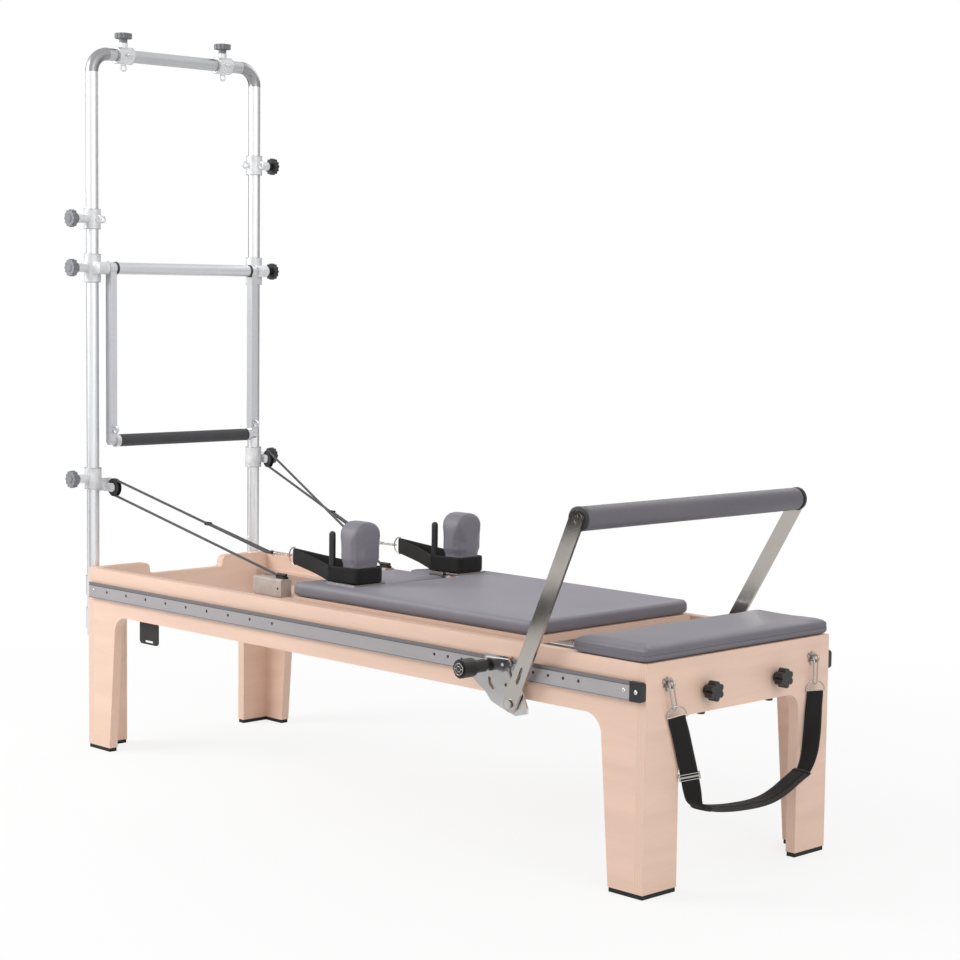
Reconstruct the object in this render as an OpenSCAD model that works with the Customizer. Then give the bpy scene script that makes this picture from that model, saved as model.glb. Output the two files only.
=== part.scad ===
// Pilates reformer with a tower at its head end.
// Units are millimetres, +Z is up and the floor is z = 0.
// +X points to the foot end, where the footbar and the platform are; left is -Y.
// The origin is on the floor, at the middle of the whole outline.

/* [Frame] */
// Length of the wooden frame over its end panels
frame_l = 2400; // [2100:10:2600]
// Width of the wooden frame over its side panels
frame_w = 740; // [660:10:800]
// Height of the wooden frame from the floor
frame_h = 590; // [500:5:640]
// Thickness of the plywood panels
panel_t = 30; // [24:1:36]
// Depth of the side and end panels between the legs
panel_h = 145; // [130:1:160]
// Width of each leg at the floor, seen from the side
leg_foot_w = 116; // [90:1:140]
// Width that each leg gains up to the panel
leg_taper = 30; // [0:1:40]
// Radius between leg and side panel
leg_fillet = 55; // [20:1:70]
// Width of each leg, seen from the end
end_leg_w = 128; // [100:1:150]
// Radius between leg and end panel
end_fillet = 45; // [20:1:60]
// Thickness of the rubber under the legs
foot_h = 12; // [6:1:20]
// How far the middle of the head panel is lowered
head_dip = 38; // [20:1:50]

/* [Outer rails] */
// Height of the outer aluminium rails
rail_h = 50; // [40:1:56]
// How far the outer rails stand out of the side panels
rail_proud = 12; // [10:1:14]
// Diameter of the lock holes
hole_d = 9; // [8:0.5:10]
// Spacing of the lock holes of the footbar
foot_pitch = 53; // [45:1:60]
// Spacing of the holes at the head end
head_pitch = 105; // [90:1:115]

/* [Carriage] */
// Length of the carriage pad
carriage_l = 984; // [900:1:1000]
// Gap between the parked carriage and the platform
carriage_park = 185; // [150:5:300]
// Gap between the carriage pad and each side panel
carriage_gap = 20; // [16:1:40]
// Height of the carriage deck over the wooden frame
deck_rise = 8; // [6:1:14]
// Thickness of the carriage deck
deck_t = 21; // [15:1:25]
// Thickness of the carriage pad
pad_t = 42; // [35:1:50]
// Radius of the carriage wheels
wheel_r = 22; // [18:1:24]
// Width of a shoulder rest
rest_w = 88; // [70:1:92]
// Thickness of a shoulder rest
rest_t = 80; // [60:1:90]
// Height of a shoulder rest
rest_h = 177; // [140:1:200]
// Distance of the shoulder rests from the middle
rest_y = 204; // [200:1:208]
// Half width of the headrest
headrest_w = 132; // [110:1:133]

/* [Platform] */
// Length of the fixed platform at the foot end
platform_l = 255; // [200:1:280]
// Thickness of the platform pad
platform_pad_t = 41.6; // [30:0.1:50]
// Distance of the platform posts from the middle
post_y = 142; // [110:1:180]
// Radius of the platform posts
post_r = 16; // [12:1:18]

/* [Footbar] */
// Length of the footbar arms from pivot to grip
arm_l = 573; // [480:1:620]
// Lean of the footbar from upright, towards the foot end
arm_lean = 28; // [0:1:40]
// Width of the flat footbar arms
arm_w = 45; // [35:1:50]
// Thickness of the flat footbar arms
arm_t = 8; // [6:1:10]
// Outer radius of the padded footbar grip
grip_r = 31; // [24:1:34]

/* [Tower] */
// Diameter of the tower tubes
tube_d = 40; // [36:1:42]
// Distance of the uprights from the sides of the wooden frame
tube_inset = 40; // [34:1:60]
// Distance of the tower behind the head panel
tower_back = 32; // [30:1:36]
// Height of the axis of the top bar
bar_z = 2241; // [1900:1:2400]
// How far the uprights reach down behind the head panel
tube_reach = 230; // [220:1:250]
// Radius of the bends at the top, on the tube axis
bend_r = 60; // [50:1:90]
// Wall thickness of the sliding collars
collar_wall = 7; // [5:0.5:9]
// Radius of the clamp knobs
knob_r = 28; // [20:1:28]
// Height of the left ring clamp
ring_left_z = 1712; // [1685:1:2100]
// Height of the right ring clamp
ring_right_z = 1915; // [1700:1:2110]
// Height of the left pulley clamp
riser_left_z = 875; // [850:1:925]
// Height of the right pulley clamp
riser_right_z = 916; // [850:1:930]

/* [Push bar] */
// Height of the axle that the push bar swings on
axle_z = 1555; // [1450:1:1600]
// Drop from the axle to the grip
push_drop = 557; // [480:1:560]
// Diameter of the push bar grip
push_grip_d = 40; // [30:1:44]

/* [Ropes, straps and springs] */
// Diameter of the two ropes
rope_d = 8; // [6:0.5:8]
// Diameter of a rope pulley over its rims
pulley_d = 58; // [50:1:60]
// Width of the webbing
webbing_w = 46; // [38:1:48]
// Width of the padded foot strap
strap_pad_w = 64; // [50:1:64]
// Mean radius of a spring
spring_r = 13; // [10:0.5:15]
// Wire thickness of a spring
spring_wire = 4; // [2:0.1:5]
// Number of curls of one spring
spring_curls = 10; // [8:1:14]

/* [Hidden] */
$fn = 48;
x_head = -frame_l / 2;
half_w = frame_w / 2;
in_w = half_w - panel_t;
panel_low = frame_h - panel_h;
leg_top_w = leg_foot_w + leg_taper;
rail_z = frame_h - 70;
foot_t = frame_l - panel_t;
track_top = frame_h - 60;
wheel_z = track_top + wheel_r + 0.3;
wheel_y = in_w - 25;
deck_top = frame_h + deck_rise;
pad_low = deck_top;
carriage_w = 2 * (in_w - carriage_gap);
carriage_end = frame_l - platform_l - carriage_park;
carriage_at = carriage_end - carriage_l;
axle_head = carriage_at + 34;
axle_foot = carriage_end - 60;
spring_z = track_top - 10;
spring_ys = [-210, -70, 70, 210];
beam_t = carriage_end - 470;
spring_bar_t = frame_l - 350;
tube_y = half_w - tube_inset;
tube_low = frame_h - tube_reach;
push_y = tube_y - 54;
pad_top = deck_top + pad_t;
rest_z = pad_top + 7.2;
rest_at = carriage_at + 129;
peg_at = carriage_at + 104;
headrest_hinge = [carriage_at + 187, pad_top - 8];
tower_t = -tower_back;
collar_r = tube_d / 2 + 0.4 + collar_wall;
collar_in = tube_d / 2 + 0.4;
stem_r = 5;
axle_t = 13;
pivot = [frame_l - 440, frame_h - 158];
plunger_t = frame_l - 534;
side_knob = [58, 70, 88];
top_knob = [40, 54, 71];
left_pulley = [10, 55 - tube_y, riser_left_z - 30];
right_pulley = [16, tube_y + 28, riser_right_z - 6];
right_yaw = -13.5;
rope_turn = pulley_d / 2 - 3;
block_t = carriage_at - 184;
block_ys = [-carriage_w / 2, headrest_w - 42];
ring_left = [carriage_at - 118, -16 - rest_y, deck_top + 100];
ring_right = [carriage_at - 118, 1 + rest_y, deck_top + 100];
eye_z = frame_h - 55;
eye_y = half_w - 77;
eye_t = frame_l + 16;
hook_z = eye_z - 3.7;
strap_t = frame_l + 28;
steel = [0.78, 0.79, 0.8];
dark = [0.12, 0.12, 0.13];
wood = [0.86, 0.7, 0.58];
vinyl = [0.5, 0.47, 0.55];
grey = [0.6, 0.61, 0.63];

// Shared shapes

// Moves a shape from the head end of the frame to its place.
module from_head() {
    translate([x_head, 0, 0]) children();
}

// Copies a shape to both sides.
module both() {
    children();
    mirror([0, 1, 0]) children();
}

// Raises a flat shape drawn as length and height, from y0 for th towards +Y.
module on_side(y0, th) {
    translate([0, y0 + th, 0]) rotate([90, 0, 0]) linear_extrude(th) children();
}

// Raises a flat shape drawn as width and height, from t0 for th towards +X.
module on_end(t0, th) {
    translate([t0, 0, 0]) rotate([90, 0, 90]) linear_extrude(th) children();
}

// A round bar along Y, from y0 for l.
module bar_y(t, y0, z, l, r) {
    translate([t, y0, z]) rotate([-90, 0, 0]) cylinder(h = l, r = r);
}

// The wedge that fills a corner with a radius.
module corner_fill(r) {
    difference() {
        translate([-1, -1]) square(r + 1);
        translate([r, r]) circle(r);
    }
}

// A closed wire ring lying flat.
module wire_ring(r, wire) {
    rotate_extrude() translate([r, 0]) circle(wire, $fn = 20);
}

// A long wire link with round ends, lying along X about its middle.
module wire_link(l, w, wire) {
    r = w / 2;
    s = l / 2 - r;
    for (e = [0, 180]) rotate([0, 0, e]) {
        translate([s, 0, 0]) rotate([0, 0, -90])
            rotate_extrude(angle = 180) translate([r, 0]) circle(wire, $fn = 20);
        translate([-s, r, 0]) rotate([0, 90, 0]) cylinder(h = 2 * s, r = wire, $fn = 20);
    }
}

// A wire ring with one straight bar, the bar along X and the bow towards +Y.
module wire_bow(r, wire) {
    rotate_extrude(angle = 180) translate([r, 0]) circle(wire, $fn = 20);
    translate([-r, 0, 0]) rotate([0, 90, 0]) cylinder(h = 2 * r, r = wire, $fn = 20);
    for (s = [-1, 1]) translate([s * r, 0, 0]) sphere(wire, $fn = 20);
}

function unit(v) = v / norm(v);
function way(p, i) = unit(p[min(i + 1, len(p) - 1)] - p[max(i - 1, 0)]);
function way_round(p, i) = unit(p[(i + 1) % len(p)] - p[(i + len(p) - 1) % len(p)]);

// Joins a list of rings into one closed solid; round = true joins the last to the first.
module skin(rings, round = false) {
    n = len(rings);
    m = len(rings[0]);
    last = round ? n - 1 : n - 2;
    sides = [for (i = [0:last], k = [0:m - 1], h = [0, 1])
        let (a = i * m + k, b = i * m + (k + 1) % m)
        let (c = ((i + 1) % n) * m + (k + 1) % m, d = ((i + 1) % n) * m + k)
        h == 0 ? [a, b, c] : [a, c, d]];
    low = [[for (k = [m - 1:-1:0]) k]];
    high = [[for (k = [0:m - 1]) (n - 1) * m + k]];
    polyhedron([for (r = rings) for (q = r) q], round ? sides : concat(sides, low, high));
}

// A round cord along the points p; side is a direction that is never along the cord.
function cord_rings(p, side, r, m) = [for (i = [0:len(p) - 1])
    let (t = way(p, i), a = unit(cross(t, side)), b = cross(a, t))
    [for (k = [0:m - 1]) p[i] + r * (cos(360 * k / m) * a + sin(360 * k / m) * b)]];

// A flat band along the points p, with its width along dirs and sizes w by h.
function band_ring(c, t, dir, w, h) =
    let (a = unit(dir - (dir * t) * t), b = cross(a, t))
    [for (q = [[1, 1], [-1, 1], [-1, -1], [1, -1]]) c + q[0] * w / 2 * a + q[1] * h / 2 * b];

// The outline of a cushion drawn in by d, from its corners [x, y, sx, sy, r, a0, a1].
function cushion_ring(corners, d) = [for (c = corners) for (i = [0:5])
    let (in = c[6] < c[5], r = in ? c[4] : max(c[4], d + 1.5))
    let (mx = in ? c[0] + c[2] * r : c[0] - c[2] * r, my = in ? c[1] + c[3] * r : c[1] - c[3] * r)
    let (a = c[5] + (c[6] - c[5]) * i / 5, q = in ? r + d : r - d)
    [mx + q * cos(a), my + q * sin(a)]];

// Four corners of a plain cushion.
function four(x0, x1, y0, y1, r) = [[x1, y1, 1, 1, r, 0, 90], [x0, y1, -1, 1, r, 90, 180],
    [x0, y0, -1, -1, r, 180, 270], [x1, y0, 1, -1, r, 270, 360]];

// A cushion standing up from a flat outline, through layers [height, drawn in].
module cushion(corners, layers) {
    skin([for (i = [len(layers) - 1:-1:0]) [for (q = cushion_ring(corners, layers[i][1]))
        [q[0], q[1], layers[i][0]]]]);
}

// Wooden frame

// Outline of a side panel with its two legs.
module side_outline() {
    translate([panel_t, panel_low]) square([frame_l - 2 * panel_t, panel_h]);
    for (e = [0, 1]) translate([e * frame_l, 0]) mirror([e, 0]) {
        polygon([[panel_t, foot_h], [leg_foot_w, foot_h], [leg_top_w, panel_low - leg_fillet],
            [leg_top_w, panel_low + 1], [panel_t, panel_low + 1]]);
        translate([leg_top_w, panel_low]) mirror([0, 1]) corner_fill(leg_fillet);
    }
}

module side_panel_left() {
    color(wood) from_head() on_side(-half_w, panel_t) side_outline();
}

module side_panel_right() {
    color(wood) from_head() on_side(in_w, panel_t) side_outline();
}

// Outline of an end panel with its two legs.
module end_outline() {
    translate([-half_w, panel_low]) square([frame_w, panel_h]);
    for (e = [0, 1]) mirror([e, 0]) {
        translate([half_w - end_leg_w, foot_h]) square([end_leg_w, panel_low]);
        translate([half_w - end_leg_w, panel_low]) rotate(180) corner_fill(end_fillet);
    }
}

module foot_end_panel() {
    color(wood) from_head() difference() {
        on_end(foot_t, panel_t) end_outline();
        for (s = [-1, 1]) translate([foot_t - 1, s * post_y, frame_h - 89])
            rotate([0, 90, 0]) cylinder(h = panel_t + 2, r = stem_r + 0.5);
    }
}

module head_end_panel() {
    color(wood) from_head() on_end(0, panel_t) difference() {
        end_outline();
        translate([-150, frame_h - head_dip]) difference() {
            square([300, head_dip + 1]);
            for (e = [0, 1]) translate([e * 300, 0]) mirror([e, 0]) corner_fill(15);
        }
        for (e = [0, 1]) mirror([e, 0]) translate([150, frame_h]) mirror([0, 1]) difference() {
            translate([-1, -1]) square(21);
            translate([20, 20]) circle(20);
        }
    }
}

module leg_feet() {
    color(dark) from_head() both() for (e = [0, 1]) translate([e * frame_l, 0, 0])
        mirror([e, 0, 0]) {
            translate([2, in_w + 2, 0]) cube([leg_foot_w - 4, panel_t - 4, foot_h]);
            translate([2, half_w - end_leg_w + 2, 0]) cube([panel_t - 4, end_leg_w - 4, foot_h]);
        }
}

// Outer rails

module footbar_rails() {
    color(grey) from_head() both() difference() {
        union() {
            on_end(20, frame_l - 63) translate([half_w, rail_z - rail_h / 2 + 6])
                square([rail_proud / 2, rail_h - 12]);
            on_end(20, frame_l - 63) translate([half_w + rail_proud / 2, rail_z - rail_h / 2])
                square([rail_proud / 2, rail_h]);
        }
        for (i = [0:8]) bar_y(120 + head_pitch * i, half_w - 1, rail_z + 1, rail_proud + 2,
            hole_d / 2);
        for (i = [-4:6]) bar_y(plunger_t + foot_pitch * i, half_w - 1, rail_z + 1, rail_proud + 2,
            hole_d / 2);
        for (z = [-17, 17]) translate([19, half_w + rail_proud - 0.8, rail_z + z - 0.6])
            cube([frame_l, 2, 1.2]);
    }
}

module rail_end_caps() {
    color(dark) from_head() both() {
        on_side(half_w, rail_proud + 2) translate([frame_l - 43, rail_z - rail_h / 2]) {
            square([33, rail_h]);
            translate([33, 10]) square([10, rail_h - 20]);
            for (z = [10, rail_h - 10]) translate([33, z]) circle(10);
        }
        bar_y(frame_l - 20, half_w + rail_proud + 2, rail_z, 1.6, 5);
    }
}

// Inner tracks for the wheels of the carriage

module carriage_tracks() {
    color(grey) from_head() both() {
        translate([panel_t + 2, in_w - 44, track_top - 6]) cube([frame_l - 64, 44, 6]);
        translate([panel_t + 2, in_w - 6, track_top - 40]) cube([frame_l - 64, 6, 35]);
    }
}

module spring_bar() {
    color(dark) from_head() {
        translate([spring_bar_t, 46 - in_w, spring_z - 20]) cube([20, 2 * in_w - 92, 40]);
        both() translate([spring_bar_t - 15, in_w - 52, track_top - 35]) cube([50, 8, 23]);
        both() translate([spring_bar_t - 15, in_w - 52, track_top - 43]) cube([50, 46, 9]);
        for (y = spring_ys) translate([spring_bar_t - 12, y - 3, spring_z - 6]) difference() {
            cube([13, 6, 12]);
            bar_y(5, -1, 6, 8, 2.4);
        }
    }
}

module platform_sockets() {
    color(dark) from_head() both() difference() {
        translate([foot_t - 44, post_y - 30, frame_h - 130]) cube([44, 60, 85]);
        translate([foot_t - 22, post_y, frame_h - 131]) cylinder(h = 88, r = post_r + 0.35);
        translate([foot_t - 22, post_y, frame_h - 89]) rotate([0, 90, 0])
            cylinder(h = 30, r = stem_r + 0.5);
    }
}

// Three lobed eye plates on the foot panel
module eye_plates() {
    color(steel) from_head() both() translate([frame_l, eye_y, eye_z]) {
        rotate([0, 90, 0]) linear_extrude(3) {
            circle(13);
            for (a = [0, 120, 240]) rotate(a) translate([13, 0]) circle(7);
        }
        for (a = [0, 120, 240]) rotate([a, 0, 0]) translate([0, 0, 14]) rotate([0, 90, 0])
            cylinder(h = 4.6, r = 3.2);
        translate([0, 0, 7]) rotate([0, 90, 0]) cylinder(h = 10, r = 3);
        translate([16, 0, 0]) rotate([90, 0, 0]) wire_ring(9, 3);
        translate([0, 0, -7]) rotate([0, 90, 0]) cylinder(h = 10, r = 3);
    }
}

module slotted_plate() {
    color(dark) from_head() on_side(-in_w, 4) difference() {
        union() {
            translate([240, panel_low - 64]) square([98, 104]);
            translate([252, panel_low - 76]) square([74, 14]);
            for (t = [252, 326]) translate([t, panel_low - 64]) circle(12);
        }
        translate([270, panel_low - 70.5]) square([38, 7]);
        for (t = [270, 308]) translate([t, panel_low - 67]) circle(3.5);
    }
}

// Tower

module tower_brackets() {
    color(steel) from_head() both() for (b = [[frame_h - 65, 63], [frame_h - 172, 69]]) {
        translate([tower_t, tube_y, b[0] - b[1] / 2]) linear_extrude(b[1]) difference() {
            union() {
                circle(tube_d / 2 + 4);
                translate([0, -tube_d / 2 - 4]) square([tower_back, tube_d + 8]);
                translate([tower_back - 5, -43]) square([5, 83]);
            }
            circle(tube_d / 2);
        }
        for (y = [-35, 32], z = [-b[1] / 4, b[1] / 4])
            translate([-9, tube_y + y, b[0] + z]) rotate([0, 90, 0]) cylinder(h = 5, r = 6);
    }
}

module tower_tubes() {
    color(steel) from_head() {
        both() translate([tower_t, tube_y, 0]) {
            difference() {
                translate([0, 0, tube_low]) cylinder(h = bar_z - bend_r - tube_low, r = tube_d / 2);
                translate([0, 0, tube_low + 4])
                    cylinder(h = bar_z, r = tube_d / 2 - 2.5);
            }
            translate([-3, -tube_d / 2 - 3, frame_h + 44]) rotate([-90, 0, 0]) cylinder(h = 6, r = 5);
        }
        difference() {
            bar_y(tower_t, bend_r - tube_y, bar_z, 2 * (tube_y - bend_r), tube_d / 2);
            bar_y(tower_t, -tube_y, bar_z, 2 * tube_y, tube_d / 2 - 2.5);
        }
    }
}

module tower_elbows() {
    color(grey) from_head() both() translate([tower_t, tube_y - bend_r, bar_z - bend_r])
        rotate([90, 0, 90]) rotate_extrude(angle = 90) translate([bend_r, 0]) difference() {
            circle(tube_d / 2 + 0.5);
            circle(tube_d / 2 - 2.5);
        }
}

// A collar that slides on a tube along Z, with a threaded boss towards +Y.
module collar(l, boss) {
    difference() {
        union() {
            cylinder(h = l, r = collar_r, center = true);
            rotate([-90, 0, 0]) cylinder(h = boss, r = 14);
            children();
        }
        cylinder(h = l + 60, r = collar_in, center = true);
        rotate([-90, 0, 0]) cylinder(h = boss + 1, r = stem_r + 0.06);
    }
}

// The scalloped knob of a collar, with its stem pointing back to the tube.
module clamp_knob(k) {
    rotate([-90, 0, 0]) {
        translate([0, 0, collar_in]) cylinder(h = k[0] - collar_in + 2, r = stem_r);
        translate([0, 0, k[0] + 0.4]) cylinder(h = k[1] - k[0] + 1, r = 13);
        translate([0, 0, k[1]]) linear_extrude(k[2] - k[1]) difference() {
            circle(knob_r);
            for (i = [0:11]) rotate(i * 30 + 15) translate([knob_r + 2.5, 0]) circle(6);
        }
        translate([0, 0, k[2] - 0.5]) cylinder(h = 2.5, r = 12);
    }
}

// A wire eye on a short foot, standing out along +X from d.
module side_eye(d) {
    translate([d - 2, 0, 0]) rotate([0, 90, 0]) cylinder(h = 5, r = 7);
    translate([d + 12, 0, 0]) rotate([90, 0, 0]) wire_ring(10, 3);
}

module top_clamp(s) {
    color(grey) from_head() translate([tower_t, s * 200.5 - 7.5, bar_z])
        rotate([90, 0, 0]) collar(57, top_knob[0]) {
            rotate([0, 0, -90]) side_eye(collar_r);
            side_eye(collar_r);
        }
}

module top_clamp_left() {
    top_clamp(-1);
}

module top_clamp_right() {
    top_clamp(1);
}

module top_clamp_knob(s) {
    color(dark) from_head() translate([tower_t, s * 200.5 - 7.5, bar_z])
        rotate([90, 0, 0]) clamp_knob(top_knob);
}

module top_knob_left() {
    top_clamp_knob(-1);
}

module top_knob_right() {
    top_clamp_knob(1);
}

module ring_clamp(z) {
    color(grey) from_head() translate([tower_t, tube_y, z]) collar(63, side_knob[0]) {
        side_eye(collar_r);
        rotate([0, 0, -90]) side_eye(collar_r);
    }
}

module ring_clamp_left() {
    mirror([0, 1, 0]) ring_clamp(ring_left_z);
}

module ring_clamp_right() {
    ring_clamp(ring_right_z);
}

module side_clamp_knob(z) {
    color(dark) from_head() translate([tower_t, tube_y, z]) clamp_knob(side_knob);
}

module ring_knob_left() {
    mirror([0, 1, 0]) side_clamp_knob(ring_left_z);
}

module ring_knob_right() {
    side_clamp_knob(ring_right_z);
}

module bar_clamps() {
    color(grey) from_head() both() translate([tower_t, tube_y, axle_z]) difference() {
        collar(90, side_knob[0]) {
            on_side(-26.5, 41.5) {
                translate([axle_t - tower_t, 0]) circle(20);
                translate([0, -20]) square([axle_t - tower_t, 40]);
            }
        }
        bar_y(axle_t - tower_t, -27, 0, 38, 10.06);
    }
}

module bar_knob_left() {
    mirror([0, 1, 0]) side_clamp_knob(axle_z);
}

module bar_knob_right() {
    side_clamp_knob(axle_z);
}

// Push bar

module push_bar() {
    color(steel) from_head() {
        bar_y(axle_t, -push_y - 24, axle_z, 2 * push_y + 48, 19);
        both() {
            bar_y(axle_t, push_y + 23, axle_z, 4.1, 22);
            bar_y(axle_t, push_y + 26, axle_z, 38, 10);
            translate([axle_t - 14, push_y, axle_z - push_drop]) cube([28, 24, push_drop]);
            bar_y(axle_t, push_y, axle_z - push_drop, 24, 14);
            bar_y(axle_t, push_y - 14, axle_z - push_drop, 15, push_grip_d / 2 + 0.5);
            translate([axle_t + 14 - 2, push_y + 12, axle_z - push_drop + 37]) side_eye(2);
        }
        bar_y(axle_t, 14 - push_y, axle_z - push_drop, 2 * push_y - 28, push_grip_d / 2 - 4);
    }
}

module push_bar_grip() {
    color(dark) from_head() difference() {
        bar_y(axle_t, 14 - push_y, axle_z - push_drop, 2 * push_y - 28, push_grip_d / 2);
        bar_y(axle_t, 13 - push_y, axle_z - push_drop, 2 * push_y - 26, push_grip_d / 2 - 4);
    }
}

// Pulley clamps

module riser_clamp_left() {
    p = left_pulley;
    color(grey) from_head() difference() {
        union() {
            mirror([0, 1, 0]) translate([tower_t, tube_y, riser_left_z]) collar(67, side_knob[0])
                translate([-8, -69, -42]) cube([18.8, 60, 40]);
            for (y = [-13, 8.4]) on_side(p[1] + y, 4.6) translate([p[0], p[2]]) {
                circle(14);
                translate([-44, -14]) square([44, 28]);
            }
            bar_y(p[0], p[1] - 12, p[2], 24, 4);
        }
        translate([tower_t, -tube_y, 0]) cylinder(h = bar_z, r = collar_in);
    }
}

module riser_clamp_right() {
    p = right_pulley;
    color(grey) from_head() difference() {
        union() {
            translate([tower_t, tube_y, riser_right_z]) collar(67, side_knob[0])
                translate([0, 8, -20]) cube([17, 32, 28]);
            translate(p) rotate([0, 0, right_yaw]) {
                for (y = [-12, 7.4]) on_side(y, 4.6) {
                    circle(14);
                    translate([-40, -14]) square([40, 28]);
                }
                bar_y(0, -11, 0, 22, 4);
            }
        }
        translate([tower_t, tube_y, 0]) cylinder(h = bar_z, r = collar_in);
    }
}

module riser_knob_left() {
    mirror([0, 1, 0]) side_clamp_knob(riser_left_z);
}

module riser_knob_right() {
    side_clamp_knob(riser_right_z);
}

// A grooved rope wheel about Y, with a bore that runs on a pin of radius 4.
module pulley() {
    rotate([90, 0, 0]) rotate_extrude() polygon([[4.06, -7], [pulley_d / 2 - 5, -7],
        [pulley_d / 2, -6.8], [pulley_d / 2, -6.3], [pulley_d / 2 - 9, -3.4],
        [pulley_d / 2 - 9, 3.4], [pulley_d / 2, 6.3], [pulley_d / 2, 6.8],
        [pulley_d / 2 - 5, 7], [4.06, 7]]);
}

module pulley_left() {
    color(dark) from_head() translate(left_pulley) pulley();
}

module pulley_right() {
    color(dark) from_head() translate(right_pulley) rotate([0, 0, right_yaw]) pulley();
}

// Carriage

module carriage_frame() {
    color(wood) from_head() {
        translate([carriage_at, 5 - carriage_w / 2, deck_top - deck_t])
            cube([carriage_l, carriage_w - 10, deck_t]);
        translate([carriage_at - 186, 5 - carriage_w / 2, deck_top - 28])
            cube([196, carriage_w - 10, 18]);
        both() translate([carriage_at + 9, in_w - 70, track_top + 7])
            cube([carriage_l - 20, 28, deck_top - deck_t - track_top - 6]);
        translate([beam_t, 69 - in_w, track_top + 15])
            cube([30, 2 * in_w - 138, deck_top - deck_t - track_top - 14]);
        for (t = [axle_head, axle_foot]) both() {
            bar_y(t, wheel_y - 18, wheel_z, 28, 4);
            bar_y(t, wheel_y - 18, wheel_z, 8.6, 8);
            bar_y(t, wheel_y + 9.4, wheel_z, 3, 7);
        }
        for (y = spring_ys) translate([beam_t + 12, y - 3, spring_z - 10]) difference() {
            cube([14, 6, 36]);
            bar_y(7, -1, 10, 8, 2.4);
        }
        both() on_side(headrest_w + 3.4, 2) translate([headrest_hinge[0], pad_low]) {
            translate([-8, -1]) square([16, pad_t - 8]);
            translate([0, pad_t - 8]) circle(7);
        }
        both() bar_y(headrest_hinge[0], headrest_w + 0.2, headrest_hinge[1], 4.5, 2.5);
    }
}

module carriage_pad() {
    x0 = carriage_at;
    x1 = carriage_end;
    xn = headrest_hinge[0] + 9;
    w = carriage_w / 2;
    g = headrest_w + 6;
    corners = [[x1, w, 1, 1, 14, 0, 90], [x0, w, -1, 1, 14, 90, 180],
        [x0, g, -1, -1, 8, 180, 270], [xn, g, -1, -1, 1.5, 90, 0], [xn, -g, -1, 1, 1.5, 0, -90],
        [x0, -g, -1, 1, 8, 90, 180], [x0, -w, -1, -1, 14, 180, 270], [x1, -w, 1, -1, 14, 270, 360]];
    color(vinyl) from_head()
        cushion(corners, [[pad_low, 3], [pad_low + 2, 0.6], [pad_low + 8, 0], [pad_low + 26, 0],
            [pad_low + 33, 2.5], [pad_low + 38, 8], [pad_low + 41, 20], [pad_top, 50]]);
}

module rope_blocks() {
    color(grey) from_head() for (y = block_ys) translate([block_t, y, deck_top - 10]) {
        difference() {
            cube([132, 40, 52]);
            for (e = [0, 40]) translate([-1, e, 52]) rotate([45, 0, 0])
                translate([0, -3, -3]) cube([134, 6, 6]);
            bar_y(116, -1, 24, 42, 4);
        }
        translate([93, 12, 51]) cube([39, 16, 8]);
        translate([112.5, 20, 64]) rotate([0, 90, 0]) cylinder(h = 39, r = 4.5, center = true);
        translate([104, 16, 58]) cube([17, 8, 6]);
    }
}

module shoulder_brackets() {
    color(steel) from_head() for (s = [-1, 1]) for (w = headrest_w + 3.4) {
        translate([peg_at - 4, s < 0 ? -w - 2.2 : w, pad_low]) cube([60, 2.2, pad_t + 4]);
        translate([peg_at - 4, s < 0 ? -w - 30 : w, pad_top + 1]) cube([60, 30, 6]);
    }
    color(steel) from_head() for (y = [-rest_y, rest_y]) translate([0, y, 0]) {
        translate([peg_at - 14, -62, pad_top + 1]) cube([rest_at + 90 - peg_at + 14, 116, 6]);
        translate([peg_at, -51, pad_top + 2]) cylinder(h = 144, r = 9);
        translate([peg_at, -51, pad_top + 145]) sphere(9);
    }
}

module shoulder_rests() {
    color(vinyl) from_head() for (y = [-rest_y, rest_y]) {
        c = [[y + rest_w / 2, rest_z + rest_h, 1, 1, 40, 0, 90],
            [y - rest_w / 2, rest_z + rest_h, -1, 1, 40, 90, 180],
            [y - rest_w / 2, rest_z, -1, -1, 8, 180, 270],
            [y + rest_w / 2, rest_z, 1, -1, 8, 270, 360]];
        layers = [[0, 16], [2, 8], [7, 2], [15, 0], [rest_t - 15, 0], [rest_t - 7, 2],
            [rest_t - 2, 8], [rest_t, 16]];
        skin([for (i = [len(layers) - 1:-1:0]) [for (q = cushion_ring(c, layers[i][1]))
            [rest_at + layers[i][0], q[0], q[1]]]]);
    }
}

module headrest_board() {
    color(wood) from_head() {
        translate([carriage_at - 42, 1 - headrest_w, deck_top + 0.4])
            cube([headrest_hinge[0] - carriage_at + 42, 2 * headrest_w - 2, 8]);
        both() on_side(headrest_w + 0.6, 2.4) difference() {
            translate([headrest_hinge[0], deck_top + 1]) {
                translate([-22, 0]) square([22, 7]);
                translate([-9, 0]) square([9, pad_t - 9]);
                translate([0, pad_t - 9]) circle(7);
            }
            translate(headrest_hinge) circle(2.56);
        }
        both() translate([headrest_hinge[0] - 22, headrest_w - 2, deck_top + 1]) cube([12, 3, 6]);
    }
}

module headrest_pad() {
    color(vinyl) from_head() difference() {
        cushion(four(carriage_at - 46, headrest_hinge[0], -headrest_w, headrest_w, 12),
            [[deck_top + 8.4, 3], [deck_top + 10, 0.6], [deck_top + 14, 0], [pad_top - 16, 0],
            [pad_top - 8, 2.5], [pad_top - 4, 6], [pad_top - 1, 16], [pad_top, 40]]);
        translate([headrest_hinge[0], 0, headrest_hinge[1]]) rotate([90, 0, 0])
            cylinder(h = 300, r = 3, center = true);
    }
}

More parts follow.
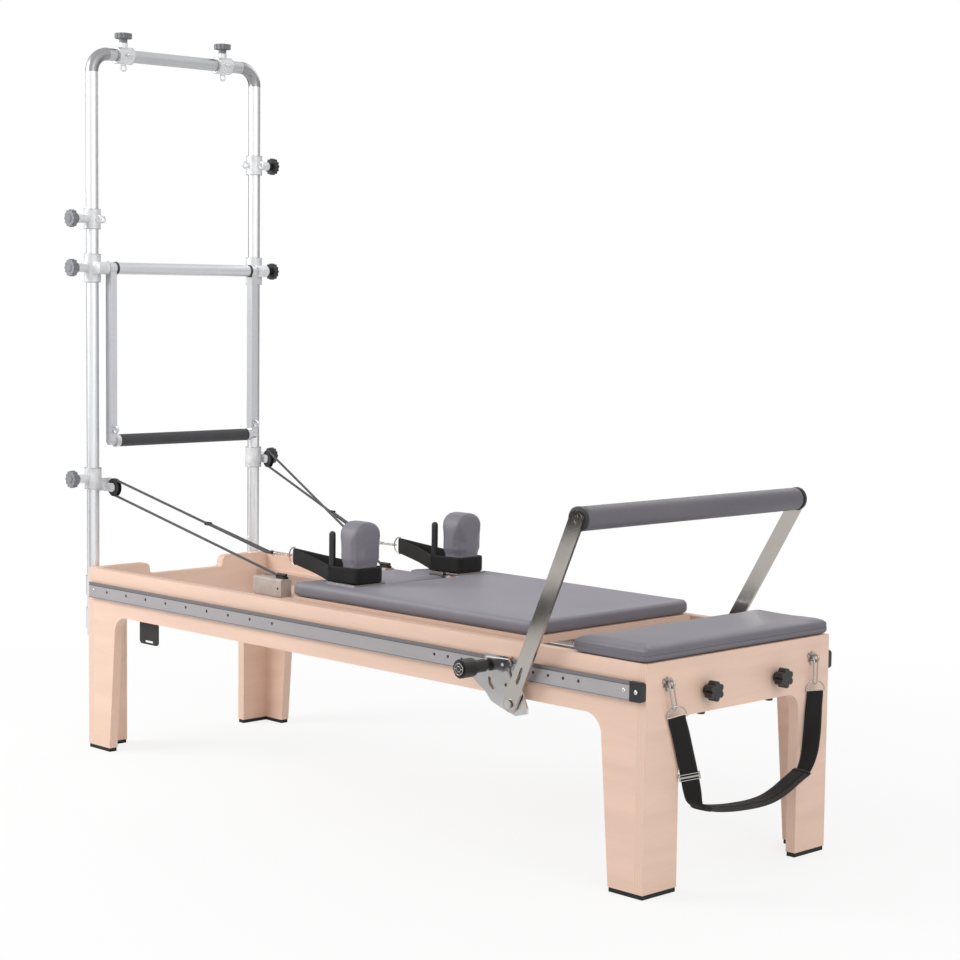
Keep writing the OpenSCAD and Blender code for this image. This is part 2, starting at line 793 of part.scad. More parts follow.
// A pair of wheels with a rounded tread and a bore that runs on a pin of radius 4.
module wheels(t) {
    color(dark) from_head() both() translate([t, wheel_y, wheel_z]) rotate([90, 0, 0])
        rotate_extrude() polygon([[4.06, -9], [9, -9], [9, -6], [15, -6], [16, -9],
            [wheel_r - 2, -9], [wheel_r, -6.5], [wheel_r, 6.5], [wheel_r - 2, 9], [16, 9],
            [15, 6], [9, 6], [9, 9], [4.06, 9]]);
}

module wheels_head() {
    wheels(axle_head);
}

module wheels_foot() {
    wheels(axle_foot);
}

// Wound springs from the cross beam of the carriage to the fixed spring bar.
module carriage_springs() {
    n = spring_curls * 8;
    t0 = beam_t + 40;
    t1 = t0 + spring_curls * spring_pitch;
    for (y = spring_ys) {
        mid = [for (i = [0:n]) let (a = 45 * i, r = spring_r * min(1, min(i, n - i) / 4))
            [t0 + (t1 - t0) * i / n, y + r * cos(a), spring_z + r * sin(a)]];
        side = [for (i = [0:n]) let (a = 45 * i) [0, cos(a), sin(a)]];
        p = concat([[beam_t + 26.3, y, spring_z]], mid, [[spring_bar_t - 12.3, y, spring_z]]);
        q = concat([[0, 1, 0]], side, [[0, cos(45 * n), sin(45 * n)]]);
        color(steel) from_head() skin([for (i = [0:len(p) - 1])
            let (t = way(p, i), a = unit(cross(t, q[i])), b = cross(a, t))
            [for (k = [0:5]) p[i] + spring_wire / 2 * (cos(60 * k) * a + sin(60 * k) * b)]]);
    }
}
spring_pitch = (spring_bar_t - beam_t - 64) / spring_curls;
echo(spring_gap = spring_pitch - spring_wire);

// A webbing loop round a shoulder rest and its peg, back to the bow at r.
module hand_loop(y, r) {
    z = rest_z + 24;
    p = [[r[0] + 3.9, r[1], r[2]], [r[0] + 5, r[1] - 3, r[2]], [r[0] + 8, r[1] - 4.4, r[2]],
        [peg_at - 100, (r[1] + y - 62) / 2, (r[2] + z) / 2], [peg_at - 8, y - 62, z + 2],
        [peg_at + 3, y - 62.6, z], [rest_at + 40, y - 51, z], [rest_at + rest_t - 4, y - 46.6, z],
        [rest_at + rest_t + 2.6, y - 40, z], [rest_at + rest_t + 2.6, y + 40, z],
        [rest_at + rest_t - 4, y + 46.6, z], [rest_at + 6, y + 46.6, z],
        [rest_at - 6, y + 44, z], [(rest_at + r[0]) / 2, (r[1] + y + 46) / 2, (r[2] + z) / 2],
        [r[0] + 8, r[1] + 4.4, r[2]], [r[0] + 5, r[1] + 3, r[2]]];
    skin([for (i = [0:len(p) - 1]) band_ring(p[i], way_round(p, i), [0, 0, 1], webbing_w, 3)],
        true);
}

module hand_loops() {
    color(dark) from_head() {
        hand_loop(-rest_y, ring_left);
        hand_loop(rest_y, ring_right);
    }
}

module loop_clips() {
    color(steel) from_head() for (r = [ring_left, ring_right]) translate(r) {
        translate([8, 0, 0]) rotate([90, -90, 0]) wire_bow(26, 2);
        translate([-43, 0, 0]) wire_link(60, 18, 2);
        translate([-89, 0, 0]) rotate([0, 90, 0]) cylinder(h = 17, r = 4.5);
        translate([-96, 0, 0]) rotate([90, 0, 0]) wire_ring(8, 1.5);
    }
}

// Route of one rope: cleat, round the pulley, through the ring and back along itself.
function rope_route(cleat, pulley, ring, yaw, s) = let (a = [cos(yaw), sin(yaw), 0])
    let (w = [-sin(yaw), cos(yaw), 0], u = [0, 0, s], e = ring - [104, 0, 0])
    let (low = pulley - rope_turn * u, high = pulley + rope_turn * u, f = s * 6)
    concat([for (k = [0:8]) cleat + (low + 1.5 * a - cleat) * k / 9],
        [for (q = [-90:15:90]) pulley - rope_turn * cos(q) * a + rope_turn * sin(q) * u],
        [for (k = [1:8]) let (h = high + 1.5 * a, g = e - [14, 6, 0]) h + (g - h) * k / 9],
        [e + [-14, -6, 0], e + [-6, -5.8, 0], e + [0, -5.8, 0], e + [4.1, -4.1, 0],
            e + [5.8, 0, 0], e + [4.1, 4.1, 0], e + [0, 5.8, 0], e + [-6, 5.8, 0]],
        [for (k = [0:3]) let (h = high + 1.5 * a, g = e - [14, -6, 0])
            g + (h - g) * k / 8 - [0, k * 0.6, 0]]);

function cleat(y) = [block_t + 92, y + 20, deck_top + 51];
left_route = rope_route(cleat(block_ys[0]), left_pulley, ring_left, 0, 1);
right_route = rope_route(cleat(block_ys[1]), right_pulley, ring_right, right_yaw, -1);

function route_l(p, i = 0) = i >= len(p) - 1 ? 0 : norm(p[i + 1] - p[i]) + route_l(p, i + 1);
echo(left_rope = route_l(left_route), right_rope = route_l(right_route));

module ropes() {
    color(dark) from_head() for (p = [left_route, right_route])
        skin(cord_rings(p, [0.05, 1, 0.02], rope_d / 2, 8));
}

// Footbar

// Flat outline that follows the points p with round ends and radius r.
module groove(p, r) {
    for (i = [0:len(p) - 1]) translate(p[i]) circle(r);
    for (i = [0:len(p) - 2]) translate(p[i]) rotate(atan2(p[i + 1][1] - p[i][1],
        p[i + 1][0] - p[i][0])) translate([0, 0.02 - r])
        square([norm(p[i + 1] - p[i]), 2 * r - 0.04]);
}

module bracket_outline() {
    translate(pivot) difference() {
        polygon([[-101, 110], [-15, 113], [24, 60], [55, -7], [55, -20], [14, -31],
            [-34, -18], [-76, -4], [-99, 19], [-149, 49]]);
        groove([[17, 113], [-12, 89], [-3, 69]], 5);
        groove([[-84, 56], [-81, 42], [-70, 32]], 5);
        translate([-37, 97]) circle(5);
        translate([-23, 46]) circle(5);
        for (a = [200, 225, 250, 290, 315]) rotate(a) translate([22, 0]) circle(3);
    }
}

module footbar_brackets() {
    color(steel) from_head() both() {
        difference() {
            union() {
                on_side(half_w + 16, 6) bracket_outline();
                translate([plunger_t - 14, half_w + 1, rail_z - 31]) cube([88, 15.5, 62]);
            }
            translate([plunger_t - 15, half_w + 5.6, rail_z - 25.4]) cube([90, 6.8, 50.8]);
            translate([plunger_t - 15, half_w, rail_z - 19.4]) cube([90, 8, 38.8]);
            bar_y(plunger_t, half_w, rail_z + 1, 30, 4.6);
        }
        bar_y(pivot[0], half_w + 21, pivot[1], 16, 6);
        bar_y(pivot[0], half_w + 35.2, pivot[1], 5, 11);
        bar_y(pivot[0], half_w + 21, pivot[1], 2.4, 14);
    }
}

module plunger(s) {
    color(dark) from_head() mirror([0, s < 0 ? 1 : 0, 0]) {
        bar_y(plunger_t, half_w + 12.4, rail_z + 1, 60, 4.4);
        bar_y(plunger_t, half_w + 33, rail_z + 1, 38, 17);
        bar_y(plunger_t, half_w + 70, rail_z + 1, 50, 20);
        translate([plunger_t, half_w + 78, rail_z + 1]) rotate([-90, 0, 0]) linear_extrude(42)
            difference() {
                circle(25);
                for (i = [0:17]) rotate(i * 20) translate([26, 0]) circle(2);
            }
        bar_y(plunger_t, half_w + 119, rail_z + 1, 5, 18);
    }
}

module plunger_left() {
    plunger(-1);
}

module plunger_right() {
    plunger(1);
}

splay = 5.5;
grip_at = [pivot[0] + arm_l * sin(arm_lean), pivot[1] + arm_l * cos(arm_lean)];
arm_out = half_w + 27 + (arm_l * cos(arm_lean)) * tan(splay);
arm_slot = [70, 113];

module footbar_arms() {
    color(steel) from_head() {
        both() difference() {
            translate([pivot[0], half_w + 24, pivot[1]]) rotate([-splay, 0, 0])
                rotate([0, arm_lean, 0]) translate([0, arm_t, 0]) rotate([90, 0, 0])
                linear_extrude(arm_t) difference() {
                    union() {
                        circle(arm_w / 2);
                        translate([-arm_w / 2, 0]) square([arm_w, arm_l + 2]);
                        translate([0, arm_l + 2]) circle(arm_w / 2);
                    }
                    groove([[0, arm_slot[0]], [0, arm_slot[1]]], 5);
                }
            bar_y(pivot[0], half_w, pivot[1], 60, 6.06);
            bar_y(pivot[0], half_w + 34.8, pivot[1], 20, 11.5);
            bar_y(pivot[0], half_w + 16, pivot[1], 7.8, 30);
        }
        bar_y(grip_at[0], -arm_out, grip_at[1], 2 * arm_out, 19);
        both() {
            bar_y(grip_at[0], arm_out - 12, grip_at[1], 9, grip_r);
            for (e = [-10, 10]) translate([grip_at[0] + e * sin(arm_lean), arm_out - 1,
                grip_at[1] + e * cos(arm_lean)]) rotate([-90, 0, 0]) cylinder(h = 8, r = 4.5);
        }
    }
}

module footbar_grip() {
    color(vinyl) from_head() difference() {
        bar_y(grip_at[0], 12 - arm_out, grip_at[1], 2 * arm_out - 24, grip_r);
        bar_y(grip_at[0], 10 - arm_out, grip_at[1], 2 * arm_out - 20, 19);
    }
}

// Platform

module platform_board() {
    color(wood) from_head()
        translate([frame_l - platform_l + 6, 4 - in_w, frame_h - 14])
            cube([platform_l - panel_t - 8, 2 * in_w - 8, 14.4]);
}

module platform_posts() {
    color(dark) from_head() both() translate([foot_t - 22, post_y, panel_low - 6])
        cylinder(h = panel_h - 8, r = post_r);
}

module platform_pad() {
    z = frame_h + 0.4;
    color(vinyl) from_head() cushion(four(frame_l - platform_l, frame_l, -half_w, half_w, 12),
        [[z, 3], [z + 2, 0.6], [z + 7, 0], [z + platform_pad_t - 16, 0],
        [z + platform_pad_t - 9, 2.5], [z + platform_pad_t - 4, 8],
        [z + platform_pad_t - 1, 22], [z + platform_pad_t, 60]]);
}

module platform_knob(s) {
    color(dark) from_head() translate([foot_t - 5.6, s * post_y, frame_h - 89])
        rotate([0, 90, 0]) {
            cylinder(h = 40, r = stem_r);
            translate([0, 0, panel_t + 6]) cylinder(h = 16, r = 12);
            translate([0, 0, panel_t + 20]) linear_extrude(24) {
                circle(18);
                for (i = [0:5]) rotate(i * 60) translate([17, 0]) circle(9);
            }
        }
}

module platform_knob_left() {
    platform_knob(-1);
}

module platform_knob_right() {
    platform_knob(1);
}

// Foot strap

link_l = 66;
bow_drop = link_l + 16.5;
bow_yaw = 30;
left_slant = 16;
eye_low = eye_z - 9;
hook_up = hook_z - eye_low;
web_s = sin(left_slant) * (bow_drop + 2 - hook_up);
web_z = eye_low - cos(left_slant) * (bow_drop + 2 - hook_up);

// A spring link through the eye with the strap's bow hanging in it.
module strap_hook() {
    translate([0, 0, -link_l / 2]) rotate([0, 90, 0]) wire_link(link_l, 16, 2);
    translate([0, 0, -bow_drop]) rotate([0, 0, 90 - bow_yaw]) rotate([90, 0, 0])
        wire_bow(26, 1.7);
}

// Route of the webbing on each side and of the pad between them.
left_web = [[eye_t, web_s - eye_y, web_z], [eye_t, web_s + 3.6 - eye_y, web_z - 12.6],
    [eye_t + 2, 37 - eye_y, eye_z - 133], [eye_t + 4, 52 - eye_y, eye_z - 185],
    [eye_t + 6.4, 63 - eye_y, eye_z - 225], [eye_t + 7.4, 71 - eye_y, eye_z - 255],
    [eye_t + 8, 78 - eye_y, eye_z - 281], [eye_t + 10, 83 - eye_y, eye_z - 303],
    [strap_t, 92.6 - eye_y, eye_z - 318.8], [strap_t, 100.6 - eye_y, eye_z - 320.9]];
left_dir = [[0.5, 0.83, 0.24], [0.5, 0.84, 0.2], [0.55, 0.8, 0.2], [0.65, 0.74, 0.2],
    [0.7, 0.68, 0.2], [0.7, 0.68, 0.2], [0.85, 0.5, 0.2], [0.95, 0.25, 0.1], [1, 0, 0],
    [1, 0, 0]];
pad_route = [[strap_t, 101 - eye_y, eye_z - 321], [strap_t, 143 - eye_y, eye_z - 332],
    [strap_t, -90, eye_z - 341], [strap_t, -30, eye_z - 346], [strap_t, 30, eye_z - 348],
    [strap_t, 85, eye_z - 344], [strap_t, eye_y - 158, eye_z - 331],
    [strap_t, eye_y - 113, eye_z - 313], [strap_t, eye_y - 67, eye_z - 295]];
right_web = [[strap_t, eye_y - 66.6, eye_z - 294.8], [strap_t, eye_y - 58, eye_z - 291.4],
    [strap_t, eye_y - 43, eye_z - 269], [strap_t - 1, eye_y - 31, eye_z - 239],
    [strap_t - 4, eye_y - 20, eye_z - 197], [strap_t - 7, eye_y - 12, eye_z - 153],
    [eye_t + 1, eye_y - 4, eye_z - 123], [eye_t, eye_y, hook_z - bow_drop - 14],
    [eye_t, eye_y, hook_z - bow_drop - 2]];
right_dir = [[1, 0, 0], [1, 0, 0], [1, 0.15, 0], [0.9, 0.4, 0.1], [0.75, 0.6, 0.1],
    [0.6, 0.8, 0.1], [0.5, 0.86, 0], [0.5, 0.866, 0], [0.5, 0.866, 0]];

// Turns a shape so that X is the width of the left webbing at its buckle and Z runs along it.
module at_buckle() {
    c = (left_web[4] + left_web[5]) / 2;
    t = unit(left_web[5] - left_web[4]);
    a = unit(left_dir[4] - (left_dir[4] * t) * t);
    b = cross(t, a);
    multmatrix([[a[0], b[0], t[0], c[0]], [a[1], b[1], t[1], c[1]], [a[2], b[2], t[2], c[2]],
        [0, 0, 0, 1]]) children();
}

module strap_hooks() {
    color(steel) from_head() {
        translate([eye_t, -eye_y, eye_low]) rotate([left_slant, 0, 0])
            translate([0, 0, hook_up]) strap_hook();
        translate([eye_t, eye_y, hook_z]) strap_hook();
        at_buckle() difference() {
            cube([webbing_w + 9, 8, 18], center = true);
            cube([webbing_w + 3.6, 4.4, 20], center = true);
            for (z = [-4.6, 4.6]) translate([0, 0, z])
                cube([webbing_w + 3.6, 10, 4.4], center = true);
        }
    }
}

module strap_webbing() {
    color(dark) from_head() {
        skin([for (i = [0:len(left_web) - 1]) band_ring(left_web[i], way(left_web, i),
            left_dir[i], webbing_w, 3)]);
        skin([for (i = [0:len(right_web) - 1]) band_ring(right_web[i], way(right_web, i),
            right_dir[i], webbing_w, 3)]);
    }
}

module strap_pad() {
    n = len(pad_route);
    color(dark) from_head() skin([for (i = [0:n - 1]) band_ring(pad_route[i],
        i == 0 || i == n - 1 ? unit(pad_route[max(i, 1)] - pad_route[max(i, 1) - 1])
        : way(pad_route, i), [1, 0, 0], strap_pad_w, 14)]);
}
echo(left_web = route_l(left_web), right_web = route_l(right_web), pad = route_l(pad_route));

side_panel_left();
side_panel_right();
foot_end_panel();
head_end_panel();
leg_feet();
footbar_rails();
rail_end_caps();
carriage_tracks();
spring_bar();
platform_sockets();
eye_plates();
slotted_plate();
tower_brackets();
tower_tubes();
tower_elbows();
strap_hooks();
strap_webbing();
strap_pad();
platform_board();
platform_posts();
platform_pad();
platform_knob_left();
platform_knob_right();
carriage_frame();
carriage_pad();
rope_blocks();
shoulder_brackets();
shoulder_rests();
headrest_board();
headrest_pad();
wheels_head();
wheels_foot();
carriage_springs();
hand_loops();
loop_clips();
ropes();
footbar_brackets();
footbar_arms();
footbar_grip();
plunger_left();
plunger_right();
top_clamp_left();
top_clamp_right();
top_knob_left();
top_knob_right();
ring_clamp_left();
ring_clamp_right();
ring_knob_left();
ring_knob_right();
bar_clamps();
bar_knob_left();
bar_knob_right();
push_bar();
push_bar_grip();
riser_clamp_left();
riser_clamp_right();
riser_knob_left();
riser_knob_right();
pulley_left();
pulley_right();
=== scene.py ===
import math

import bmesh
import bpy
import numpy as np
from bpy.props import FloatProperty, FloatVectorProperty, IntProperty, PointerProperty
from mathutils import Matrix, Vector


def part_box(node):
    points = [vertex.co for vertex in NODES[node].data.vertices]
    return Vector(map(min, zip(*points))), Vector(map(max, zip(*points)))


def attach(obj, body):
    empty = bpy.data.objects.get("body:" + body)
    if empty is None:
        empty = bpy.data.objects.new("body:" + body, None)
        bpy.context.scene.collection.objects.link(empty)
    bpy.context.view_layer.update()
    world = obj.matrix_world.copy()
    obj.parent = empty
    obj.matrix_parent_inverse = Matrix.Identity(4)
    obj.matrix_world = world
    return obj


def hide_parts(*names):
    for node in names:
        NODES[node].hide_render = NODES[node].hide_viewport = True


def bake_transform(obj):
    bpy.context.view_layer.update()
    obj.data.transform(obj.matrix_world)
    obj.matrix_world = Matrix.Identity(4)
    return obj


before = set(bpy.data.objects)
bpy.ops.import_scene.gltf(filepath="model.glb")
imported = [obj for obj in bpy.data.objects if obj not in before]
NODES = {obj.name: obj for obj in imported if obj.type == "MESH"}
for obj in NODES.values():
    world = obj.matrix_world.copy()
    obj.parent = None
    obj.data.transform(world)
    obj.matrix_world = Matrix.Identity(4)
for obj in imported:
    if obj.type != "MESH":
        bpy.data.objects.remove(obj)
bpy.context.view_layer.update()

bl_info = {
    "name": "Pilates Tower Reformer Dressing",
    "version": (1, 0, 0),
    "blender": (4, 5, 0),
    "location": "View3D > Sidebar > Reformer",
    "description": "Upholstery, ropes, straps, fittings and finishes of a reformer with a tower",
    "category": "Object",
}

# In metres: the head end face along X, then heights over the floor.
HEAD = -1.2
RAIL_Z = 0.52
DECK_Z = 0.598
BAR_Z = 2.241

# In millimetres, as at() takes them.
REST_Y = 204                       # middle of a shoulder rest
PEG_T = 1080                       # rope pegs
TUBE_T, TUBE_Y = -32, 330          # uprights of the tower
COLLAR = 27.1                      # radius of the lips of a collar
AXLE_T, AXLE_Z = 13, 1555          # axle of the push bar
LOCK_PIN = (1866, 494, 521)        # outer face of a lock pin


def at(t, y, z):
    """A point given in millimetres from the head end face, the middle and the floor."""
    return Vector((HEAD + t / 1000, y / 1000, z / 1000))


def srgb(r, g, b):
    """A screen colour from 0 to 255, as the linear colour that a shader takes."""
    return tuple(c / 12.92 if c <= 0.04045 else ((c + 0.055) / 1.055) ** 2.4
                 for c in (r / 255, g / 255, b / 255))


# ---------------------------------------------------------------- settings


def a_colour(name, description, *rgb):
    return FloatVectorProperty(name=name, description=description, subtype="COLOR", size=3,
                               min=0, max=1, default=srgb(*rgb))


def a_length(name, description, default, low, high):
    return FloatProperty(name=name, description=description, unit="LENGTH", default=default,
                         min=low, max=high)


class REFORMER_PG_colours(bpy.types.PropertyGroup):
    """The colours of the reformer."""

    wood: a_colour("Plywood", "Lacquered plywood face", 229, 196, 176)
    vinyl: a_colour("Vinyl", "Upholstery of the pads", 128, 124, 134)
    webbing: a_colour("Webbing", "Woven straps", 18, 16, 15)
    rope: a_colour("Rope", "Braided ropes", 66, 66, 70)
    foam: a_colour("Foam", "Push bar grip", 58, 57, 60)
    clamp: a_colour("Clamps", "Silver painted clamps of the tower", 220, 221, 223)
    knob: a_colour("Knobs", "Moulded knobs of the tower", 112, 113, 118)


class REFORMER_PG_sizes(bpy.types.PropertyGroup):
    """The sizes of the soft and wound pieces."""

    rope: a_length("Rope", "Diameter of a rope", 0.008, 0.004, 0.012)
    webbing: a_length("Webbing width", "Width of the straps", 0.046, 0.02, 0.06)
    strap_pad: a_length("Strap pad width", "Width of the padded foot strap", 0.062, 0.03, 0.064)
    stitch: a_length("Stitch pitch", "Spacing of the stitches", 0.0045, 0.002, 0.01)
    pressure: FloatProperty(name="Pressure", description="Filling pressure of the pads",
                            default=4.0, min=0, max=20)
    curls: IntProperty(name="Curls", description="Curls of one carriage spring", default=64,
                       min=10, max=90)


def colours():
    return bpy.context.scene.reformer_colours


def sizes():
    return bpy.context.scene.reformer_sizes


# ---------------------------------------------------------------- finishes

BLACK = (0, 0, 0, 1)


class Nodes:
    """Fills a node tree, a node at a time."""

    def __init__(self, tree):
        self.tree = tree

    def put(self, kind, out=0, settings=None, **inputs):
        """Adds a node and returns one of its outputs.

        An input is named by its label or as i0, i1, and is given a socket or a value.
        """
        n = self.tree.nodes.new(kind)
        for key, value in (settings or {}).items():
            setattr(n, key, value)
        for key, value in inputs.items():
            by_number = key[0] == "i" and key[1:].isdigit()
            self.feed(value, n.inputs[int(key[1:]) if by_number else key.replace("_", " ")])
        return n.outputs[out]

    def feed(self, value, socket):
        if isinstance(value, bpy.types.NodeSocket):
            self.tree.links.new(value, socket)
        else:
            socket.default_value = value

    def maths(self, what, a, b=0.5):
        """One sum on two values, named as Blender names it."""
        return self.put("ShaderNodeMath", settings={"operation": what}, i0=a, i1=b)


class Finish(Nodes):
    """Builds one node material; constants are fixed values of its shader."""

    def __init__(self, name, colour, rough, metal=0.0, **constants):
        self.material = bpy.data.materials.new(name)
        self.material.use_nodes = True
        super().__init__(self.material.node_tree)
        self.shader = self.tree.nodes["Principled BSDF"]
        self.colour = self.material.diffuse_color = (*colour, 1)
        constants.update(Base_Color=self.colour, Roughness=rough, Metallic=metal)
        for key, value in constants.items():
            self.shader.inputs[key.replace("_", " ")].default_value = value

    def place(self, scale=(1, 1, 1)):
        """The surface position in metres, stretched by scale."""
        where = self.put("ShaderNodeTexCoord", "Object")
        return self.put("ShaderNodeMapping", Vector=where, Scale=scale)

    def axis(self, letter, source="Object"):
        """One coordinate of the surface position, of its UV map or of its normal."""
        where = self.put("ShaderNodeTexCoord", source)
        return self.put("ShaderNodeSeparateXYZ", "XYZ".index(letter), Vector=where)

    def noise(self, scale, detail=3.0, rough=0.55, warp=0.0, stretch=(1, 1, 1)):
        return self.put("ShaderNodeTexNoise", 0, Vector=self.place(stretch), Scale=scale,
                        Detail=detail, Roughness=rough, Distortion=warp)

    def plus(self, a, b, factor):
        """a and factor times b."""
        return self.maths("ADD", a, self.maths("MULTIPLY", b, factor))

    def span(self, value, low, high, to_low=0.0, to_high=1.0):
        """The value's range from low to high, stretched to another one."""
        return self.put("ShaderNodeMapRange", Value=value, From_Min=low, From_Max=high,
                        To_Min=to_low, To_Max=to_high)

    def blend(self, amount, a, b):
        """Colour a where amount is 0 and colour b where it is 1."""
        n = self.tree.nodes.new("ShaderNodeMix")
        n.data_type = "RGBA"
        for number, value in ((0, amount), (6, a), (7, b)):
            self.feed(value, n.inputs[number])
        return n.outputs[2]

    def shade(self, factor):
        """The base colour made lighter or darker by factor."""
        return tuple(min(1.0, c * factor) for c in self.colour[:3]) + (1,)

    def mottle(self, value, dark, light, low=0.3, high=0.7):
        """The base colour between two shades, as value goes from low to high."""
        return self.blend(self.span(value, low, high), self.shade(dark), self.shade(light))

    def mark(self, tone, value, low, high, amount, shade):
        """The tone drawn by amount towards a shade, where value goes from low to high."""
        return self.blend(self.span(value, low, high, 0.0, amount), tone, self.shade(shade))

    def paint(self, colour, rough, height, depth, strength):
        """Feeds the shader, with height as relief of that depth, and returns the material."""
        bump = self.put("ShaderNodeBump", Height=height, Distance=depth, Strength=strength)
        for key, value in (("Base Color", colour), ("Roughness", rough), ("Normal", bump)):
            self.feed(value, self.shader.inputs[key])
        return self.material


def plywood(name, thin, grain):
    """Lacquered plywood; thin is the axis across the sheet and grain the axis along it."""
    f = Finish(name, colours().wood, 0.42, Coat_Weight=0.18, Coat_Roughness=0.35)
    stretch = [0.9 if letter == grain else 9.0 for letter in "XYZ"]
    broad = f.noise(2.2, 4, 0.6, 0.6, stretch)
    fine = f.noise(3.0, 5, 0.7, stretch=[s * 9 for s in stretch])
    wave = f.put("ShaderNodeTexWave", 1, {"wave_type": "RINGS", "rings_direction": grain},
                 Vector=f.place(stretch), Scale=0.8, Distortion=7.0, Detail=3.0,
                 Detail_Scale=1.2)
    tone = f.mottle(broad, 0.95, 1.05)
    tone = f.mark(tone, wave, 0.0, 1.0, 0.16, 0.82)
    tone = f.mark(tone, fine, 0.35, 0.75, 0.22, 0.86)
    layers = 190.0
    layer = f.maths("PINGPONG", f.maths("MULTIPLY", f.axis(thin), layers), 0.5)
    edge = f.mottle(layer, 0.9, 1.05, 0.12, 0.38)
    edge = f.mark(edge, fine, 0.3, 0.8, 0.3, 0.72)
    face = f.span(f.maths("ABSOLUTE", f.axis(thin, "Normal")), 0.3, 0.7)
    height = f.plus(f.maths("MULTIPLY", fine, 0.6), broad, 0.4)
    return f.paint(f.blend(face, edge, tone), f.span(fine, 0.2, 0.8, 0.36, 0.5), height,
                   0.0003, 0.5)


def vinyl(name, tint=1.0, side=0.0):
    """Soft matt vinyl with a fine leather grain; side is how much painted shade darkens its
    upright sides.
    """
    f = Finish(name, [c * tint for c in colours().vinyl], 0.5, Sheen_Weight=0.12,
               Sheen_Roughness=0.4)
    grain = f.put("ShaderNodeTexVoronoi", 0, {"feature": "SMOOTH_F1"}, Vector=f.place(),
                  Scale=620.0, Smoothness=0.4)
    fine = f.noise(260.0, 4)
    tone = f.mottle(f.noise(5.0), 0.94, 1.05)
    tone = f.blend(f.span(grain, 0.0, 0.7, 0.25, 0.0), tone, f.shade(0.7))
    # Painted shade: faces that point sideways are drawn towards black, as if less lit than the
    # top.
    if side:
        tone = f.blend(f.span(f.axis("Z", "Normal"), 0.35, 0.75, side, 0.0), tone, BLACK)
    return f.paint(tone, f.span(fine, 0.2, 0.8, 0.42, 0.58), f.plus(grain, fine, 0.6),
                   0.0004, 0.55)


def woven(name, colour, pitch=0.0016):
    """Ribbed webbing: the weave follows the strap through its own UV map, in metres."""
    f = Finish(name, colour, 0.8, Sheen_Weight=0.08, Sheen_Roughness=0.5,
               Specular_IOR_Level=0.3)
    k = 2 * math.pi / pitch
    across = f.maths("SINE", f.maths("MULTIPLY", f.axis("X", "UV"), k))
    along = f.maths("SINE", f.maths("MULTIPLY", f.axis("Y", "UV"), k * 0.7))
    fuzz = f.noise(900.0)
    height = f.plus(f.span(f.maths("MULTIPLY", across, along), -1, 1), fuzz, 0.4)
    tone = f.mottle(height, 0.55, 1.5, 0.2, 1.2)
    tone = f.mark(tone, f.noise(22.0), 0.45, 0.8, 0.35, 2.0)
    return f.paint(tone, f.span(fuzz, 0.2, 0.8, 0.72, 0.9), height, 0.0004, 0.8)


def braid(name, colour):
    """A round braid: two sets of strands cross round the cord, once round in a lay."""
    strand_count, lay = 8, 0.022
    f = Finish(name, colour, 0.72, Sheen_Weight=0.25)
    turn = f.maths("MULTIPLY", f.axis("X", "UV"), 2 * math.pi * strand_count)
    run = f.maths("MULTIPLY", f.axis("Y", "UV"), 2 * math.pi * strand_count / lay)
    one, two = (f.maths("SINE", f.maths(how, turn, run)) for how in ("ADD", "SUBTRACT"))
    strands = f.maths("MAXIMUM", one, two)
    fuzz = f.noise(1400.0)
    tone = f.mottle(strands, 0.45, 1.2, -0.2, 1.0)
    tone = f.mark(tone, fuzz, 0.5, 0.8, 0.3, 1.8)
    height = f.plus(f.span(strands, -0.4, 1), fuzz, 0.3)
    return f.paint(tone, f.span(fuzz, 0.2, 0.8, 0.65, 0.85), height, 0.0006, 0.9)


def foam(name, colour):
    """Closed cell foam with a satin skin."""
    f = Finish(name, colour, 0.62)
    cells = f.put("ShaderNodeTexVoronoi", 0, Vector=f.place(), Scale=900.0)
    broad = f.noise(18.0, 4)
    return f.paint(f.mottle(broad, 0.85, 1.25), f.span(broad, 0.3, 0.7, 0.55, 0.7),
                   f.plus(cells, broad, 1.5), 0.0003, 0.6)


def metal(name, colour, rough, along="X", brushed=True, dim=None):
    """Bare metal with fine marks along one axis; dim is a height and the painted shade above it.
    """
    f = Finish(name, colour, rough, 1.0)
    stretch = [1.2 if brushed and letter == along else 60.0 for letter in "XYZ"]
    lines = f.noise(18.0, 5, 0.75, stretch=stretch)
    patches = f.noise(7.0, 4)
    tone = f.mottle(lines, 0.9, 1.06)
    tone = f.mark(tone, patches, 0.55, 0.8, 0.18, 0.85)
    shine = f.maths("ADD", f.span(lines, 0.2, 0.8, rough * 0.75, rough * 1.2),
                    f.span(patches, 0.4, 0.8, 0.0, 0.07))
    # Painted shade: above the height in dim the metal is drawn darker, as if it caught less
    # light.
    if dim:
        height, shade = dim
        above = f.span(f.axis("Z"), height, height + 0.004, 0, 1 - shade)
        tone = f.blend(above, tone, BLACK)
    return f.paint(tone, shine, lines, 0.00008, 0.5 if brushed else 0.12)


